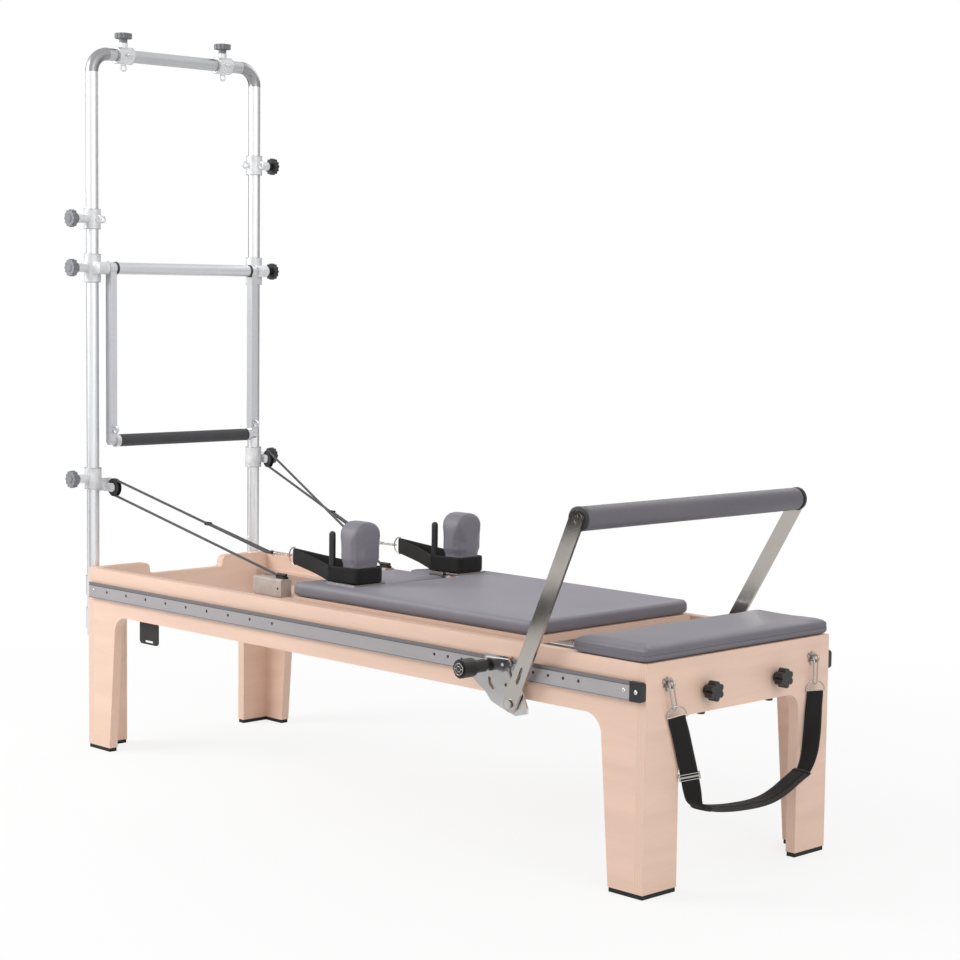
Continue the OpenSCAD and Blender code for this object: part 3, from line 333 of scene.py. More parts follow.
def anodised(name, colour, rough):
    """Satin extrusion along X with painted shade: a darker band along its top and thin dark lines
    at its lips.
    """
    f = Finish(name, colour, rough, 0.85)
    lines = f.noise(20.0, 5, 0.75, stretch=(1.5, 70, 70))
    z = f.axis("Z")
    tone = f.mottle(lines, 0.92, 1.06)
    tone = f.mark(tone, f.noise(9.0, 5, 0.7), 0.5, 0.8, 0.35, 0.78)
    # Painted shade: the band along the top of the rail is drawn darker, as if under a lip.
    tone = f.mark(tone, z, RAIL_Z + 0.0145, RAIL_Z + 0.0155, 1.0, 0.5)
    # Painted shadow lines: thin dark lines at the lower and upper lips.
    for middle, half, amount, shade in ((-0.0225, 0.0012, 0.6, 0.2), (0.0152, 0.0008, 0.7, 0.12)):
        lip = f.put("ShaderNodeMath", settings={"operation": "COMPARE"}, i0=z,
                    i1=RAIL_Z + middle, i2=half)
        tone = f.blend(f.maths("MULTIPLY", lip, amount), tone, f.shade(shade))
    return f.paint(tone, f.span(lines, 0.2, 0.8, rough * 0.8, rough * 1.25), lines, 0.00008, 0.5)


def painted(name, colour, rough=0.4, metallic=0.0, light=1.18, polish=0.06, cap=None):
    """Powder coat or moulded plastic with slight wear; cap is a colour and where it starts."""
    f = Finish(name, colour, rough, metallic)
    wear = f.noise(30.0, 5, 0.7)
    tone = f.mottle(wear, 0.88, light, 0.35, 0.75)
    if cap:
        dark, height = cap
        tone = f.blend(f.span(f.axis("Z"), height, height + 0.0004), tone, (*dark, 1))
    return f.paint(tone, f.span(wear, 0.3, 0.8, rough - polish, rough + 0.12), f.noise(420.0),
                   0.00025, 0.5)


def rubbery(name, colour):
    """Matt rubber with dust on it."""
    f = Finish(name, colour, 0.85)
    grit = f.noise(700.0, 4)
    tone = f.mark(f.colour, f.noise(14.0, 5), 0.45, 0.8, 0.6, 1.9)
    return f.paint(tone, f.span(grit, 0.2, 0.8, 0.78, 0.92), grit, 0.0004, 0.7)


def recipes():
    """How each finish is made: a function and what it is given."""
    c = colours()
    return {
        "ply_side": (plywood, "Plywood side", "Y", "X"),
        "ply_end": (plywood, "Plywood end", "X", "Y"),
        "ply_deck": (plywood, "Plywood deck", "Z", "X"),
        # For the pad and platform vinyl the last number is painted shade on their upright sides.
        "vinyl": (vinyl, "Pad vinyl", 1.0, 0.2),
        # The platform's vinyl is a darker copy of the pad vinyl: painted shade for the foot end
        # catching less light.
        "vinyl_platform_shaded": (vinyl, "Platform vinyl", 0.84, 0.22),
        "vinyl_rest": (vinyl, "Rest vinyl", 0.84),
        "vinyl_seam": (vinyl, "Seam vinyl", 0.8),
        "vinyl_grip": (vinyl, "Grip vinyl", 0.55),
        "webbing": (woven, "Black webbing", c.webbing),
        "strap_foam": (woven, "Strap padding", [x * 5.0 for x in c.webbing], 0.0011),
        "thread": (painted, "Thread", srgb(52, 52, 56), 0.7),
        "rope": (braid, "Braided rope", c.rope),
        "foam": (foam, "Grip foam", c.foam),
        # The tube is painted darker from just under the top bar upwards: painted shade.
        "tube": (metal, "Brushed tube", srgb(233, 234, 236), 0.34, "Z", True,
                 (BAR_Z - 0.03, 0.62)),
        "tube_y": (metal, "Brushed bar", srgb(206, 207, 210), 0.3, "Y"),
        "rail": (anodised, "Anodised rail", srgb(184, 180, 182), 0.42),
        "plate": (metal, "Steel plate", srgb(222, 220, 219), 0.2, "X"),
        "chrome": (metal, "Chrome", srgb(180, 174, 168), 0.09, "Z", False),
        "wire": (metal, "Plated wire", srgb(178, 173, 168), 0.2, "X", False),
        "clamp": (painted, "Silver clamp", c.clamp, 0.4, 0.35),
        # The bends take a darker copy of the tube metal: painted shade for the darker reflection
        # of the bent tube.
        "bend": (metal, "Grey bend", srgb(158, 158, 161), 0.36, "Y"),
        "knob": (painted, "Grey knob", [x * 1.25 for x in c.knob], 0.42),
        "knob_top": (painted, "Dark grey knob", [x * 1.1 for x in c.knob], 0.42),
        "block": (painted, "Rope block", srgb(182, 169, 161), 0.45, 0.1, 1.1, 0.05,
                  (srgb(40, 32, 28), DECK_Z + 0.0424)),
        "black": (painted, "Black plastic", srgb(30, 29, 30), 0.42),
        "black_steel": (painted, "Black powder coat", srgb(28, 25, 23), 0.5),
        "socket": (painted, "Socket", srgb(14, 14, 15), 0.6),
        "rubber": (rubbery, "Leg rubber", srgb(26, 26, 27)),
    }


MADE = {}


def finish(key):
    """The finish of that name, made once."""
    if key not in MADE:
        make, *given = recipes()[key]
        MADE[key] = make(*given)
    return MADE[key]


def dress(node, key):
    """Gives a CAD node its finish."""
    o = NODES[node]
    if not o.material_slots:
        o.data.materials.append(None)
    for s in o.material_slots:
        s.link = "OBJECT"
        s.material = finish(key)


# ---------------------------------------------------------------- shapes


def shown(name, data):
    """An object of the scene that holds the data."""
    o = bpy.data.objects.new(name, data)
    bpy.context.scene.collection.objects.link(o)
    return o


def build(name, verts, faces, key, uvs=None):
    """A smooth mesh object at the origin."""
    mesh = bpy.data.meshes.new(name)
    mesh.from_pydata([tuple(v) for v in verts], [], faces)
    if uvs is not None:
        layer = mesh.uv_layers.new(name="UVMap")
        for poly, corners in zip(mesh.polygons, uvs):
            for loop, uv in zip(poly.loop_indices, corners):
                layer.data[loop].uv = uv
    mesh.polygons.foreach_set("use_smooth", [True] * len(mesh.polygons))
    mesh.materials.append(finish(key))
    mesh.update()
    return shown(name, mesh)


def join(name, parts):
    """Joins objects into the first one, under a new name."""
    bpy.ops.object.select_all(action="DESELECT")
    for p in parts:
        p.select_set(True)
    bpy.context.view_layer.objects.active = parts[0]
    if len(parts) > 1:
        bpy.ops.object.join()
    o = bpy.context.view_layer.objects.active
    o.name = o.data.name = name
    return o


def edit(o, change):
    """Changes the mesh of an object by change(bm)."""
    bm = bmesh.new()
    bm.from_mesh(o.data)
    change(bm)
    bm.to_mesh(o.data)
    bm.free()
    o.data.update()


def outwards(o):
    """Points every face of a closed mesh outwards."""
    edit(o, lambda bm: bmesh.ops.recalc_face_normals(bm, faces=bm.faces))


def unit(rows):
    """Rows of vectors, each at length 1."""
    return rows / np.linalg.norm(rows, axis=1)[:, None]


def distances(p):
    """How far along the line each point lies."""
    return np.concatenate([[0], np.cumsum(np.linalg.norm(np.diff(p, axis=0), axis=1))])


def turns(steps):
    """Angles once round, in even steps, with the first one again at the end."""
    return [2 * math.pi * k / steps for k in range(steps + 1)]


def smooth_path(points, step, extra=None, closed=False):
    """A smooth line through the points with even steps; extra values are carried along."""
    p = np.array([tuple(q) for q in points], float)
    if extra is not None:
        p = np.hstack([p, np.array(extra, float)])
    n = len(p)
    out = []
    for i in range(n if closed else n - 1):
        around = [i - 1, i, i + 1, i + 2]
        a, b, c, d = (p[k % n if closed else min(max(k, 0), n - 1)] for k in around)
        count = max(1, int(np.linalg.norm((c - b)[:3]) / step))
        for k in range(count):
            t = k / count
            out.append(0.5 * (2 * b + (c - a) * t + (2 * a - 5 * b + 4 * c - d) * t * t
                              + (3 * b - a - 3 * c + d) * t ** 3))
    if not closed:
        out.append(p[-1])
    return np.array(out)


def tube(name, path, radius, key, sides=12, side=(0.05, 1, 0.02), lumps=None):
    """A round cord along the path, with UVs: round in turns, along in metres.

    side is any direction off the path, and lumps are factors on the radius at its points.
    """
    p = np.asarray(path, float)[:, :3]
    t = unit(np.gradient(p, axis=0))
    a = unit(np.cross(t, np.array(side, float)))
    b = np.cross(a, t)
    run = distances(p)
    radii = radius * (np.ones(len(p)) if lumps is None else np.asarray(lumps))
    verts = [p[i] + radii[i] * (math.cos(w) * a[i] + math.sin(w) * b[i])
             for i in range(len(p)) for w in turns(sides)[:-1]]
    faces, uvs = [], []
    for i in range(len(p) - 1):
        for k in range(sides):
            q = (k + 1) % sides
            faces.append((i * sides + k, (i + 1) * sides + k, (i + 1) * sides + q, i * sides + q))
            uvs.append(((k / sides, run[i]), (k / sides, run[i + 1]),
                        ((k + 1) / sides, run[i + 1]), ((k + 1) / sides, run[i])))
    for base, order in ((0, 1), ((len(p) - 1) * sides, -1)):
        faces.append(tuple(base + k for k in range(sides))[::order])
        uvs.append([(k / sides, 0) for k in range(sides)])
    return build(name, verts, faces, key, uvs)


def strap_frame(p, d, closed=False):
    """Directions across and through webbing whose widths point about along d."""
    t = unit(np.roll(p, -1, 0) - np.roll(p, 1, 0) if closed else np.gradient(p, axis=0))
    a = unit(d - (d * t).sum(1)[:, None] * t)
    return a, np.cross(a, t)


def strap(name, p, d, width, thick, key, closed=False, crown=0.0):
    """Flat webbing along the points p, its width along d. UVs are in metres."""
    a, b = strap_frame(p, d, closed)
    run = distances(p)
    steps = np.linspace(-1, 1, 9)
    bulge = np.sqrt(np.maximum(0, 1 - np.abs(steps) ** 6)) * (1 + crown * (1 - steps ** 2))
    half = list(zip(steps, bulge))
    section = half + [(s, -h) for s, h in half[-2:0:-1]]
    m, n = len(section), len(p)
    verts = [p[i] + s * width / 2 * a[i] + h * thick / 2 * b[i]
             for i in range(n) for s, h in section]
    faces, uvs = [], []
    for i in range(n if closed else n - 1):
        j = (i + 1) % n
        v0, v1 = run[i], run[i] + np.linalg.norm(p[j] - p[i])
        for k in range(m):
            q = (k + 1) % m
            u0, u1 = section[k][0] * width / 2, section[q][0] * width / 2
            faces.append((i * m + k, i * m + q, j * m + q, j * m + k))
            uvs.append(((u0, v0), (u1, v0), (u1, v1), (u0, v1)))
    if not closed:
        for base, order in ((0, -1), ((n - 1) * m, 1)):
            faces.append(tuple(base + k for k in range(m))[::order])
            uvs.append([(s * width / 2, 0) for s, _ in section][::order])
    o = build(name, verts, faces, key, uvs)
    outwards(o)
    return o


# ---------------------------------------------------------------- node trees


def geometry_tree(name, numbers, make):
    """The geometry tree of that name, made once, with named number inputs and a finish.

    make(nodes, inputs) returns its instances, and the tree makes them real.
    """
    if name in bpy.data.node_groups:
        return bpy.data.node_groups[name]
    tree = bpy.data.node_groups.new(name, "GeometryNodeTree")

    def socket(label, kind, way="INPUT"):
        return tree.interface.new_socket(name=label, in_out=way, socket_type="NodeSocket" + kind)

    socket("Geometry", "Geometry")
    for label, default in numbers.items():
        socket(label, "Float").default_value = default
    socket("Finish", "Material")
    socket("Geometry", "Geometry", "OUTPUT")
    nodes = Nodes(tree)
    given = tree.nodes.new("NodeGroupInput").outputs
    real = nodes.put("GeometryNodeRealizeInstances", i0=make(nodes, given))
    done = nodes.put("GeometryNodeSetMaterial", Geometry=real, Material=given["Finish"])
    nodes.feed(done, tree.nodes.new("NodeGroupOutput").inputs[0])
    return tree


def stitch_run(n, given):
    """Threads that follow the edges of a mesh line."""
    line = n.put("GeometryNodeMeshToCurve", i0=given["Geometry"])
    even = n.put("GeometryNodeResampleCurve", 0, {"mode": "LENGTH"}, Curve=line,
                 Length=given["Pitch"])
    ball = n.put("GeometryNodeMeshUVSphere", Segments=6, Rings=5, Radius=given["Thread"])
    thread = n.put("GeometryNodeTransform", Geometry=ball, Scale=(1, 1, 3.2))
    turn = n.put("FunctionNodeAlignEulerToVector", 0, {"axis": "Z"},
                 Vector=n.put("GeometryNodeInputTangent"))
    return n.put("GeometryNodeInstanceOnPoints", Points=even, Instance=thread, Rotation=turn)


def screw_heads(n, given):
    """A domed screw head with a cross recess on every point, facing the point's way."""
    way = n.put("GeometryNodeInputNamedAttribute", 0, {"data_type": "FLOAT_VECTOR"}, Name="way")
    head = n.put("GeometryNodeMeshCone", Vertices=20, Depth=given["Height"],
                 Radius_Bottom=given["Radius"],
                 Radius_Top=n.maths("MULTIPLY", given["Radius"], 0.7))
    slot = n.put("GeometryNodeMeshCube", Size=(0.0034, 0.0009, 0.0012))
    turned = n.put("GeometryNodeTransform", Geometry=slot, Rotation=(0, 0, math.pi / 2))
    cross = n.put("GeometryNodeJoinGeometry", i0=slot)
    n.feed(turned, cross.node.inputs[0])
    raised = n.put("GeometryNodeTransform", Geometry=cross, Translation=(0, 0, 0.0014))
    cut = n.put("GeometryNodeMeshBoolean", 0, {"operation": "DIFFERENCE"}, i0=head, i1=raised)
    turn = n.put("FunctionNodeAlignEulerToVector", 0, {"axis": "Z"}, Vector=way)
    return n.put("GeometryNodeInstanceOnPoints", Points=given["Geometry"], Instance=cut,
                 Rotation=turn)


def wound_spring(n, given):
    """A wound wire along X on every point."""
    coil = n.put("GeometryNodeCurveSpiral", Resolution=20, Rotations=given["Curls"],
                 Start_Radius=given["Radius"], End_Radius=given["Radius"],
                 Height=given["Length"])
    lie = n.put("GeometryNodeTransform", Geometry=coil, Rotation=(0, math.pi / 2, 0))
    ring = n.put("GeometryNodeCurvePrimitiveCircle", Resolution=8, Radius=given["Wire"])
    wire = n.put("GeometryNodeCurveToMesh", Curve=lie, Profile_Curve=ring, Fill_Caps=True)
    return n.put("GeometryNodeInstanceOnPoints", Points=given["Geometry"], Instance=wire)


TREES = {
    "Stitch run": ({"Pitch": 0.0045, "Thread": 0.0005}, stitch_run),
    "Screw heads": ({"Radius": 0.004, "Height": 0.0016}, screw_heads),
    "Wound spring": ({"Curls": 60.0, "Radius": 0.013, "Length": 0.46, "Wire": 0.0019},
                     wound_spring),
}


def evaluated(o):
    """A new mesh: what the modifiers make of the object."""
    graph = bpy.context.evaluated_depsgraph_get()
    return bpy.data.meshes.new_from_object(o.evaluated_get(graph))


def grow(name, tree_name, verts, edges, values, key, ways=None):
    """Runs a geometry tree on points or lines and returns a plain mesh object."""
    tree = geometry_tree(tree_name, *TREES[tree_name])
    mesh = bpy.data.meshes.new(name)
    mesh.from_pydata([tuple(v) for v in verts], edges, [])
    if ways is not None:
        a = mesh.attributes.new("way", "FLOAT_VECTOR", "POINT")
        a.data.foreach_set("vector", np.array(ways, float).ravel())
    o = shown(name, mesh)
    m = o.modifiers.new("Tree", "NODES")
    m.node_group = tree
    values = dict(values, Finish=finish(key))
    for item in tree.interface.items_tree:
        if item.item_type == "SOCKET" and item.in_out == "INPUT" and item.name in values:
            m[item.identifier] = values[item.name]
    made = evaluated(o)
    o.modifiers.clear()
    o.data = made
    made.name = name
    if not made.polygons:
        raise RuntimeError(name + " came out empty")
    if "way" in made.attributes:
        made.attributes.remove(made.attributes["way"])
    made.polygons.foreach_set("use_smooth", [True] * len(made.polygons))
    made.materials.clear()
    made.materials.append(finish(key))
    return o


def stitches(name, lines):
    """Stitches along open lines of points."""
    verts, edges = [], []
    for line in lines:
        k = len(verts)
        verts += list(line)
        edges += [(k + i, k + i + 1) for i in range(len(line) - 1)]
    return grow(name, "Stitch run", verts, edges, {"Pitch": sizes().stitch, "Thread": 0.00055},
                "thread")


def screws(name, points, ways, radius, key, height=0.0016):
    """A screw head at every point, facing the way given for it."""
    return grow(name, "Screw heads", points, [], {"Radius": radius, "Height": height}, key, ways)


# ---------------------------------------------------------------- padding


def corner_line(corners, d, steps=7):
    """Outline drawn in by d, in millimetres, from corners (x, y, sx, sy, radius, from, to)."""
    line = []
    for x, y, sx, sy, r, a0, a1 in corners:
        hollow = a1 < a0
        if not hollow:
            r = max(r, d + 1.5)
        mx, my = (x + sx * r, y + sy * r) if hollow else (x - sx * r, y - sy * r)
        q = r + d if hollow else r - d
        for i in range(steps):
            a = math.radians(a0 + (a1 - a0) * i / (steps - 1))
            line.append((mx + q * math.cos(a), my + q * math.sin(a)))
    return line


def four(x0, x1, y0, y1, r):
    """The corners of a rectangle."""
    return [(x1, y1, 1, 1, r, 0, 90), (x0, y1, -1, 1, r, 90, 180),
            (x0, y0, -1, -1, r, 180, 270), (x1, y0, 1, -1, r, 270, 360)]


def stack(corners, layers):
    """Level rings round a pad, from its heights and how far each is drawn in."""
    return [[at(x, y, z) for x, y in corner_line(corners, d)] for z, d in layers]


def flat_ring(corners, z):
    """A closed line round a pad at one height."""
    line = [at(x, y, z) for x, y in corner_line(corners, 0, 5)]
    return line + [line[0]]


def corner_seams(x0, x1, w, inset, heights, over):
    """Lines up the four corners of a pad and on over its top edge."""
    return [[at(x - sx * inset, sy * (w - inset), z) for z in heights]
            + [at(x - sx * d, sy * (w - d), z) for d, z in over]
            for x, sx in ((x0, -1), (x1, 1)) for sy in (-1, 1)]


def coords(mesh, what="co"):
    """The points of a mesh, or their normals, as rows."""
    c = np.empty(len(mesh.vertices) * 3)
    if what == "co":
        mesh.vertices.foreach_get("co", c)
    else:
        mesh.vertex_normals.foreach_get("vector", c)
    return c.reshape(-1, 3)


def move_to(mesh, p):
    """Puts the points of a mesh at the rows of p."""
    mesh.vertices.foreach_set("co", p.ravel())
    mesh.update()


def settle(o):
    """Turns what the modifiers make into the object's own mesh."""
    made, old = evaluated(o), o.data
    o.modifiers.clear()
    o.data = made
    made.name = o.name
    bpy.data.meshes.remove(old)


def soften(bm):
    """Evens out what the remesh leaves."""
    for _ in range(3):
        bmesh.ops.smooth_vert(bm, verts=bm.verts, factor=0.5, use_axis_x=True, use_axis_y=True,
                              use_axis_z=True)


def blow_up(o, held, swell):
    """Fills a cover as cloth; no point moves further than about swell."""
    start = coords(o.data)
    g = o.vertex_groups.new(name="Fastened")
    g.add([int(i) for i in np.nonzero(start[:, 2] < held)[0]], 1.0, "REPLACE")
    c = o.modifiers.new("Cloth", "CLOTH")
    c.settings.use_pressure = True
    c.settings.uniform_pressure_force = sizes().pressure
    c.settings.effector_weights.gravity = 0
    c.settings.vertex_group_mass = "Fastened"
    c.settings.quality = 4
    c.collision_settings.use_collision = False
    c.point_cache.frame_start, c.point_cache.frame_end = 1, 20
    for f in range(1, 21):
        bpy.context.scene.frame_set(f)
    graph = bpy.context.evaluated_depsgraph_get()
    move = coords(o.evaluated_get(graph).to_mesh()) - start
    o.evaluated_get(graph).to_mesh_clear()
    bpy.context.scene.frame_set(1)
    o.modifiers.clear()
    far = np.linalg.norm(move, axis=1)
    move *= (swell * np.tanh(far / swell) / np.maximum(far, 1e-9))[:, None]
    move_to(o.data, start + move)
    o.vertex_groups.clear()


def stuffed(name, rings, key, held, voxel, swell):
    """A foam pad: a skin over rings, remeshed, filled as cloth, capped and smoothed.

    The points below the height held are fastened to the board.
    """
    n, m = len(rings), len(rings[0])
    faces = [(i * m + k, i * m + (k + 1) % m, (i + 1) * m + (k + 1) % m, (i + 1) * m + k)
             for i in range(n - 1) for k in range(m)]
    faces += [tuple(range(m))[::-1], tuple((n - 1) * m + k for k in range(m))]
    o = build(name, [q for r in rings for q in r], faces, key)
    outwards(o)
    remesh = o.modifiers.new("Remesh", "REMESH")
    remesh.mode = "VOXEL"
    remesh.voxel_size = voxel
    settle(o)
    edit(o, soften)
    blow_up(o, held, swell)
    s = o.modifiers.new("Smooth cover", "SUBSURF")
    s.levels = s.render_levels = 1
    settle(o)
    o.data.polygons.foreach_set("use_smooth", [True] * len(o.data.polygons))
    return o


def press(o, depth_at):
    """Moves each point of a cover inwards by depth_at(points), in metres."""
    p = coords(o.data)
    move_to(o.data, p - coords(o.data, "normal") * depth_at(p)[:, None])


def ridge(distance, width):
    """1 at no distance, and next to nothing two widths away."""
    return np.exp(-(distance / width) ** 2)


def from_border(p, lo, hi):
    """How far each point is inside the upright sides of a box."""
    return np.minimum(np.minimum(p[:, 0] - lo[0], hi[0] - p[:, 0]),
                      np.minimum(p[:, 1] - lo[1], hi[1] - p[:, 1]))


def cling(o, line, lift):
    """The line of points laid on the nearest surface of a cover."""
    out = []
    for q in line:
        hit, where, normal, _ = o.closest_point_on_mesh(Vector(q))
        if not hit:
            raise RuntimeError("a seam misses " + o.name)
        out.append(where + normal * lift)
    return out


def seam(name, o, lines, key="vinyl_seam", radius=0.0011):
    """A thin welt along lines laid on a cover."""
    return join(name, [tube(name, cling(o, smooth_path(line, 0.004), -0.0002), radius, key, 6)
                       for line in lines])


# ---------------------------------------------------------------- rigid parts


class REFORMER_OT_finishes(bpy.types.Operator):
    """Gives the rigid parts of the reformer their wood, metal, plastic and rubber."""

    bl_idname = "reformer.finishes"
    bl_label = "Finishes"

    def execute(self, context):
        table = {
            "ply_side": "side_panel_left side_panel_right",
            "ply_end": "foot_end_panel head_end_panel",
            "ply_deck": "carriage_frame headrest_board platform_board",
            "rubber": "leg_feet",
            "rail": "footbar_rails",
            "black": "rail_end_caps platform_knob_left platform_knob_right plunger_left "
                     "plunger_right wheels_head wheels_foot pulley_left pulley_right "
                     "ring_knob_right bar_knob_right riser_knob_right",
            "black_steel": "platform_sockets platform_posts spring_bar slotted_plate",
            "plate": "footbar_brackets carriage_tracks",
            "chrome": "shoulder_brackets footbar_arms",
            "wire": "strap_hooks loop_clips eye_plates",
            "tube": "tower_tubes tower_brackets",
            "tube_y": "push_bar",
            "bend": "tower_elbows",
            "clamp": "top_clamp_left top_clamp_right ring_clamp_left ring_clamp_right "
                     "riser_clamp_left riser_clamp_right bar_clamps",
            "block": "rope_blocks",
            "knob": "ring_knob_left bar_knob_left riser_knob_left",
            "knob_top": "top_knob_left top_knob_right",
        }
        for key, nodes in table.items():
            for node in nodes.split():
                dress(node, key)
        return {"FINISHED"}


# ---------------------------------------------------------------- pads


class REFORMER_OT_carriage_pad(bpy.types.Operator):
    """Upholsters the carriage, with a notch for the headrest."""

    bl_idname = "reformer.carriage_pad"
    bl_label = "Carriage pad"

    def execute(self, context):
        x0, x1, w = 971.5, 1957.5, 319
        notch_w, notch_x = 139, 1173
        corners = [(x1, w, 1, 1, 14, 0, 90), (x0, w, -1, 1, 6, 90, 180),
                   (x0, notch_w, -1, -1, 8, 180, 270), (notch_x, notch_w, -1, -1, 8, 90, 0),
                   (notch_x, -notch_w, -1, 1, 8, 0, -90), (x0, -notch_w, -1, 1, 8, 90, 180),
                   (x0, -w, -1, -1, 6, 180, 270), (x1, -w, 1, -1, 14, 270, 360)]
        rings = stack(corners, [(598.4, 3), (600, 0.8), (606, 0), (627, 0), (633, 0.9),
                                (637, 3.4), (638.9, 8), (639.7, 20), (640, 50)])
        pad = stuffed("carriage_cover", rings, "vinyl", held=0.601, voxel=0.0085, swell=0.0022)
        lo, hi = at(x0, -w, 598), at(x1, w, 640)
        seam_z, deep, wide, rim = 0.6335, 0.0007, 0.0022, 0.012
        press(pad, lambda p: deep * ridge(p[:, 2] - seam_z, wide)
              * (from_border(p, lo, hi) < rim))
        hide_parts("carriage_pad")
        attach(pad, "carriage")
        lines = corner_seams(x0, x1, w, inset=4.5, heights=range(602, 634, 4),
                             over=((8, 637), (16, 640)))
        welt = seam("carriage_seams", pad, lines)
        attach(welt, "carriage")
        return {"FINISHED"}


class REFORMER_OT_headrest_pad(bpy.types.Operator):
    """Upholsters the folding headrest."""

    bl_idname = "reformer.headrest_pad"
    bl_label = "Headrest pad"

    def execute(self, context):
        x0, x1, w = 931.5, 1161.5, 130.5
        rings = stack(four(x0, x1, -w, w, 13), [(606.6, 3), (608, 0.8), (612, 0), (624, 0),
                                                (631, 2), (635.4, 6), (638.4, 14), (640, 34)])
        pad = stuffed("headrest_cover", rings, "vinyl", held=0.609, voxel=0.0055, swell=0.002)
        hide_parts("headrest_pad")
        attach(pad, "headrest")
        lines = corner_seams(x0, x1, w, inset=4, heights=range(610, 632, 4), over=((9, 637),))
        welt = seam("headrest_seams", pad, lines)
        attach(welt, "headrest")
        return {"FINISHED"}


class REFORMER_OT_platform_pad(bpy.types.Operator):
    """Upholsters the platform at the foot end; its cover is gathered by a seam round the side."""

    bl_idname = "reformer.platform_pad"
    bl_label = "Platform pad"

    def execute(self, context):
        x0, x1, w = 2146.5, 2400.5, 371
        corners = four(x0, x1, -w, w, 5)
        rings = stack(corners, [(590.6, 3), (592, 0.8), (597, 0), (616, 0), (622, 1.6),
                                (626.6, 6), (629.6, 14), (631.4, 34), (632, 60)])
        # The platform cover takes the darker copy of the vinyl: painted shade.
        pad = stuffed("platform_cover", rings, "vinyl_platform_shaded", held=0.593, voxel=0.0062,
                      swell=0.0032)
        lo, hi = at(x0, -w, 590), at(x1, w, 632)
        seam_z, rim = 0.6125, 0.02

        def depth(p):
            groove = ridge(p[:, 2] - seam_z, 0.0026)
            below = np.clip((0.611 - p[:, 2]) / 0.006, 0, 1)
            return (from_border(p, lo, hi) < rim) * (0.0019 * groove + 0.0012 * below)

        press(pad, depth)
        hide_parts("platform_pad")
        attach(pad, "platform")
        lines = [flat_ring(corners, 612.2)]
        lines += corner_seams(x0, x1, w, inset=4, heights=range(593, 624, 5), over=((9, 628),))
        welt = seam("platform_seams", pad, lines, radius=0.0009)
        run = smooth_path(flat_ring(corners, 609.2), 0.01)
        thread = stitches("platform_stitches", [cling(pad, run, 0.0001)])
        for o in (welt, thread):
            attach(o, "platform")
        return {"FINISHED"}


class REFORMER_OT_shoulder_rests(bpy.types.Operator):
    """Upholsters the two shoulder rests: arched boxes with piped edges."""

    bl_idname = "reformer.shoulder_rests"
    bl_label = "Shoulder rests"

    def execute(self, context):
        pads, welts = [], []
        for y in (-REST_Y, REST_Y):
            corners = [(y + 43, 823, 1, 1, 40, 0, 90), (y - 43, 823, -1, 1, 40, 90, 180),
                       (y - 43, 648, -1, -1, 9, 180, 270), (y + 43, 648, 1, -1, 9, 270, 360)]
            layers = [(1106, 16), (1108, 8), (1112, 2.5), (1119, 0), (1171, 0), (1178, 2.5),
                      (1182, 8), (1184, 16)]
            rings = [[at(t, a, b) for a, b in corner_line(corners, d)] for t, d in layers]
            pad = stuffed("rest_cover", rings, "vinyl_rest", held=0.652, voxel=0.0042,
                          swell=0.0035)
            self.plump(pad, y / 1000)
            pads.append(pad)
            for t in (1110.5, 1179.5):
                line = [at(t, a, b) for a, b in corner_line(corners, -2)]
                welts.append(seam("rest_welt", pad, [line + [line[0]]], radius=0.0012))
        both = join("rest_covers", pads)
        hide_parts("shoulder_rests")
        welt = join("rest_welts", welts)
        for o in (both, welt):
            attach(o, "carriage")
        return {"FINISHED"}

    def plump(self, pad, y):
        """Swells the cover above the webbing that is drawn round its foot."""
        middle, web_z = at(1145, 0, 0)[0], 0.698
        p = coords(pad.data)
        rise = np.clip((p[:, 2] - web_z) / 0.022, 0, 1)
        rise *= rise * (3 - 2 * rise)
        # Along each axis: the middle, the reach from there to the face, and the swell.
        for k, start, reach, more in ((0, middle, 0.04, 0.003), (1, y, 0.043, 0.0065),
                                      (2, web_z, 0.125, 0.004)):
            p[:, k] += (p[:, k] - start) / reach * more * rise
        move_to(pad.data, p)


def bar_of(lo, hi):
    """X and Z of the middle, half length and radius of a bar along Y, from its box."""
    return (lo[0] + hi[0]) / 2, (lo[2] + hi[2]) / 2, hi[1], (hi[2] - lo[2]) / 2


def padded_roll(name, middle, half, r, ends, key, count, wave=0.0):
    """A roll along Y; ends are pairs of depth from the end face and lump, the last one plain.

    count is the number of rings between the ends, and wave how uneven the roll is there.
    """
    x, z = middle
    *rounded, (plain, _) = ends
    ys = [-half + d for d, _ in rounded] + list(np.linspace(-half + plain, half - plain, count)) \
        + [half - d for d, _ in rounded[::-1]]
    caps = [k for _, k in rounded]
    lumps = caps + [1 + wave * math.sin(9 * y) for y in ys[3:-3]] + caps[::-1]
    return tube(name, [(x, y, z) for y in ys], r, key, 40, side=(0, 0.05, 1), lumps=lumps)


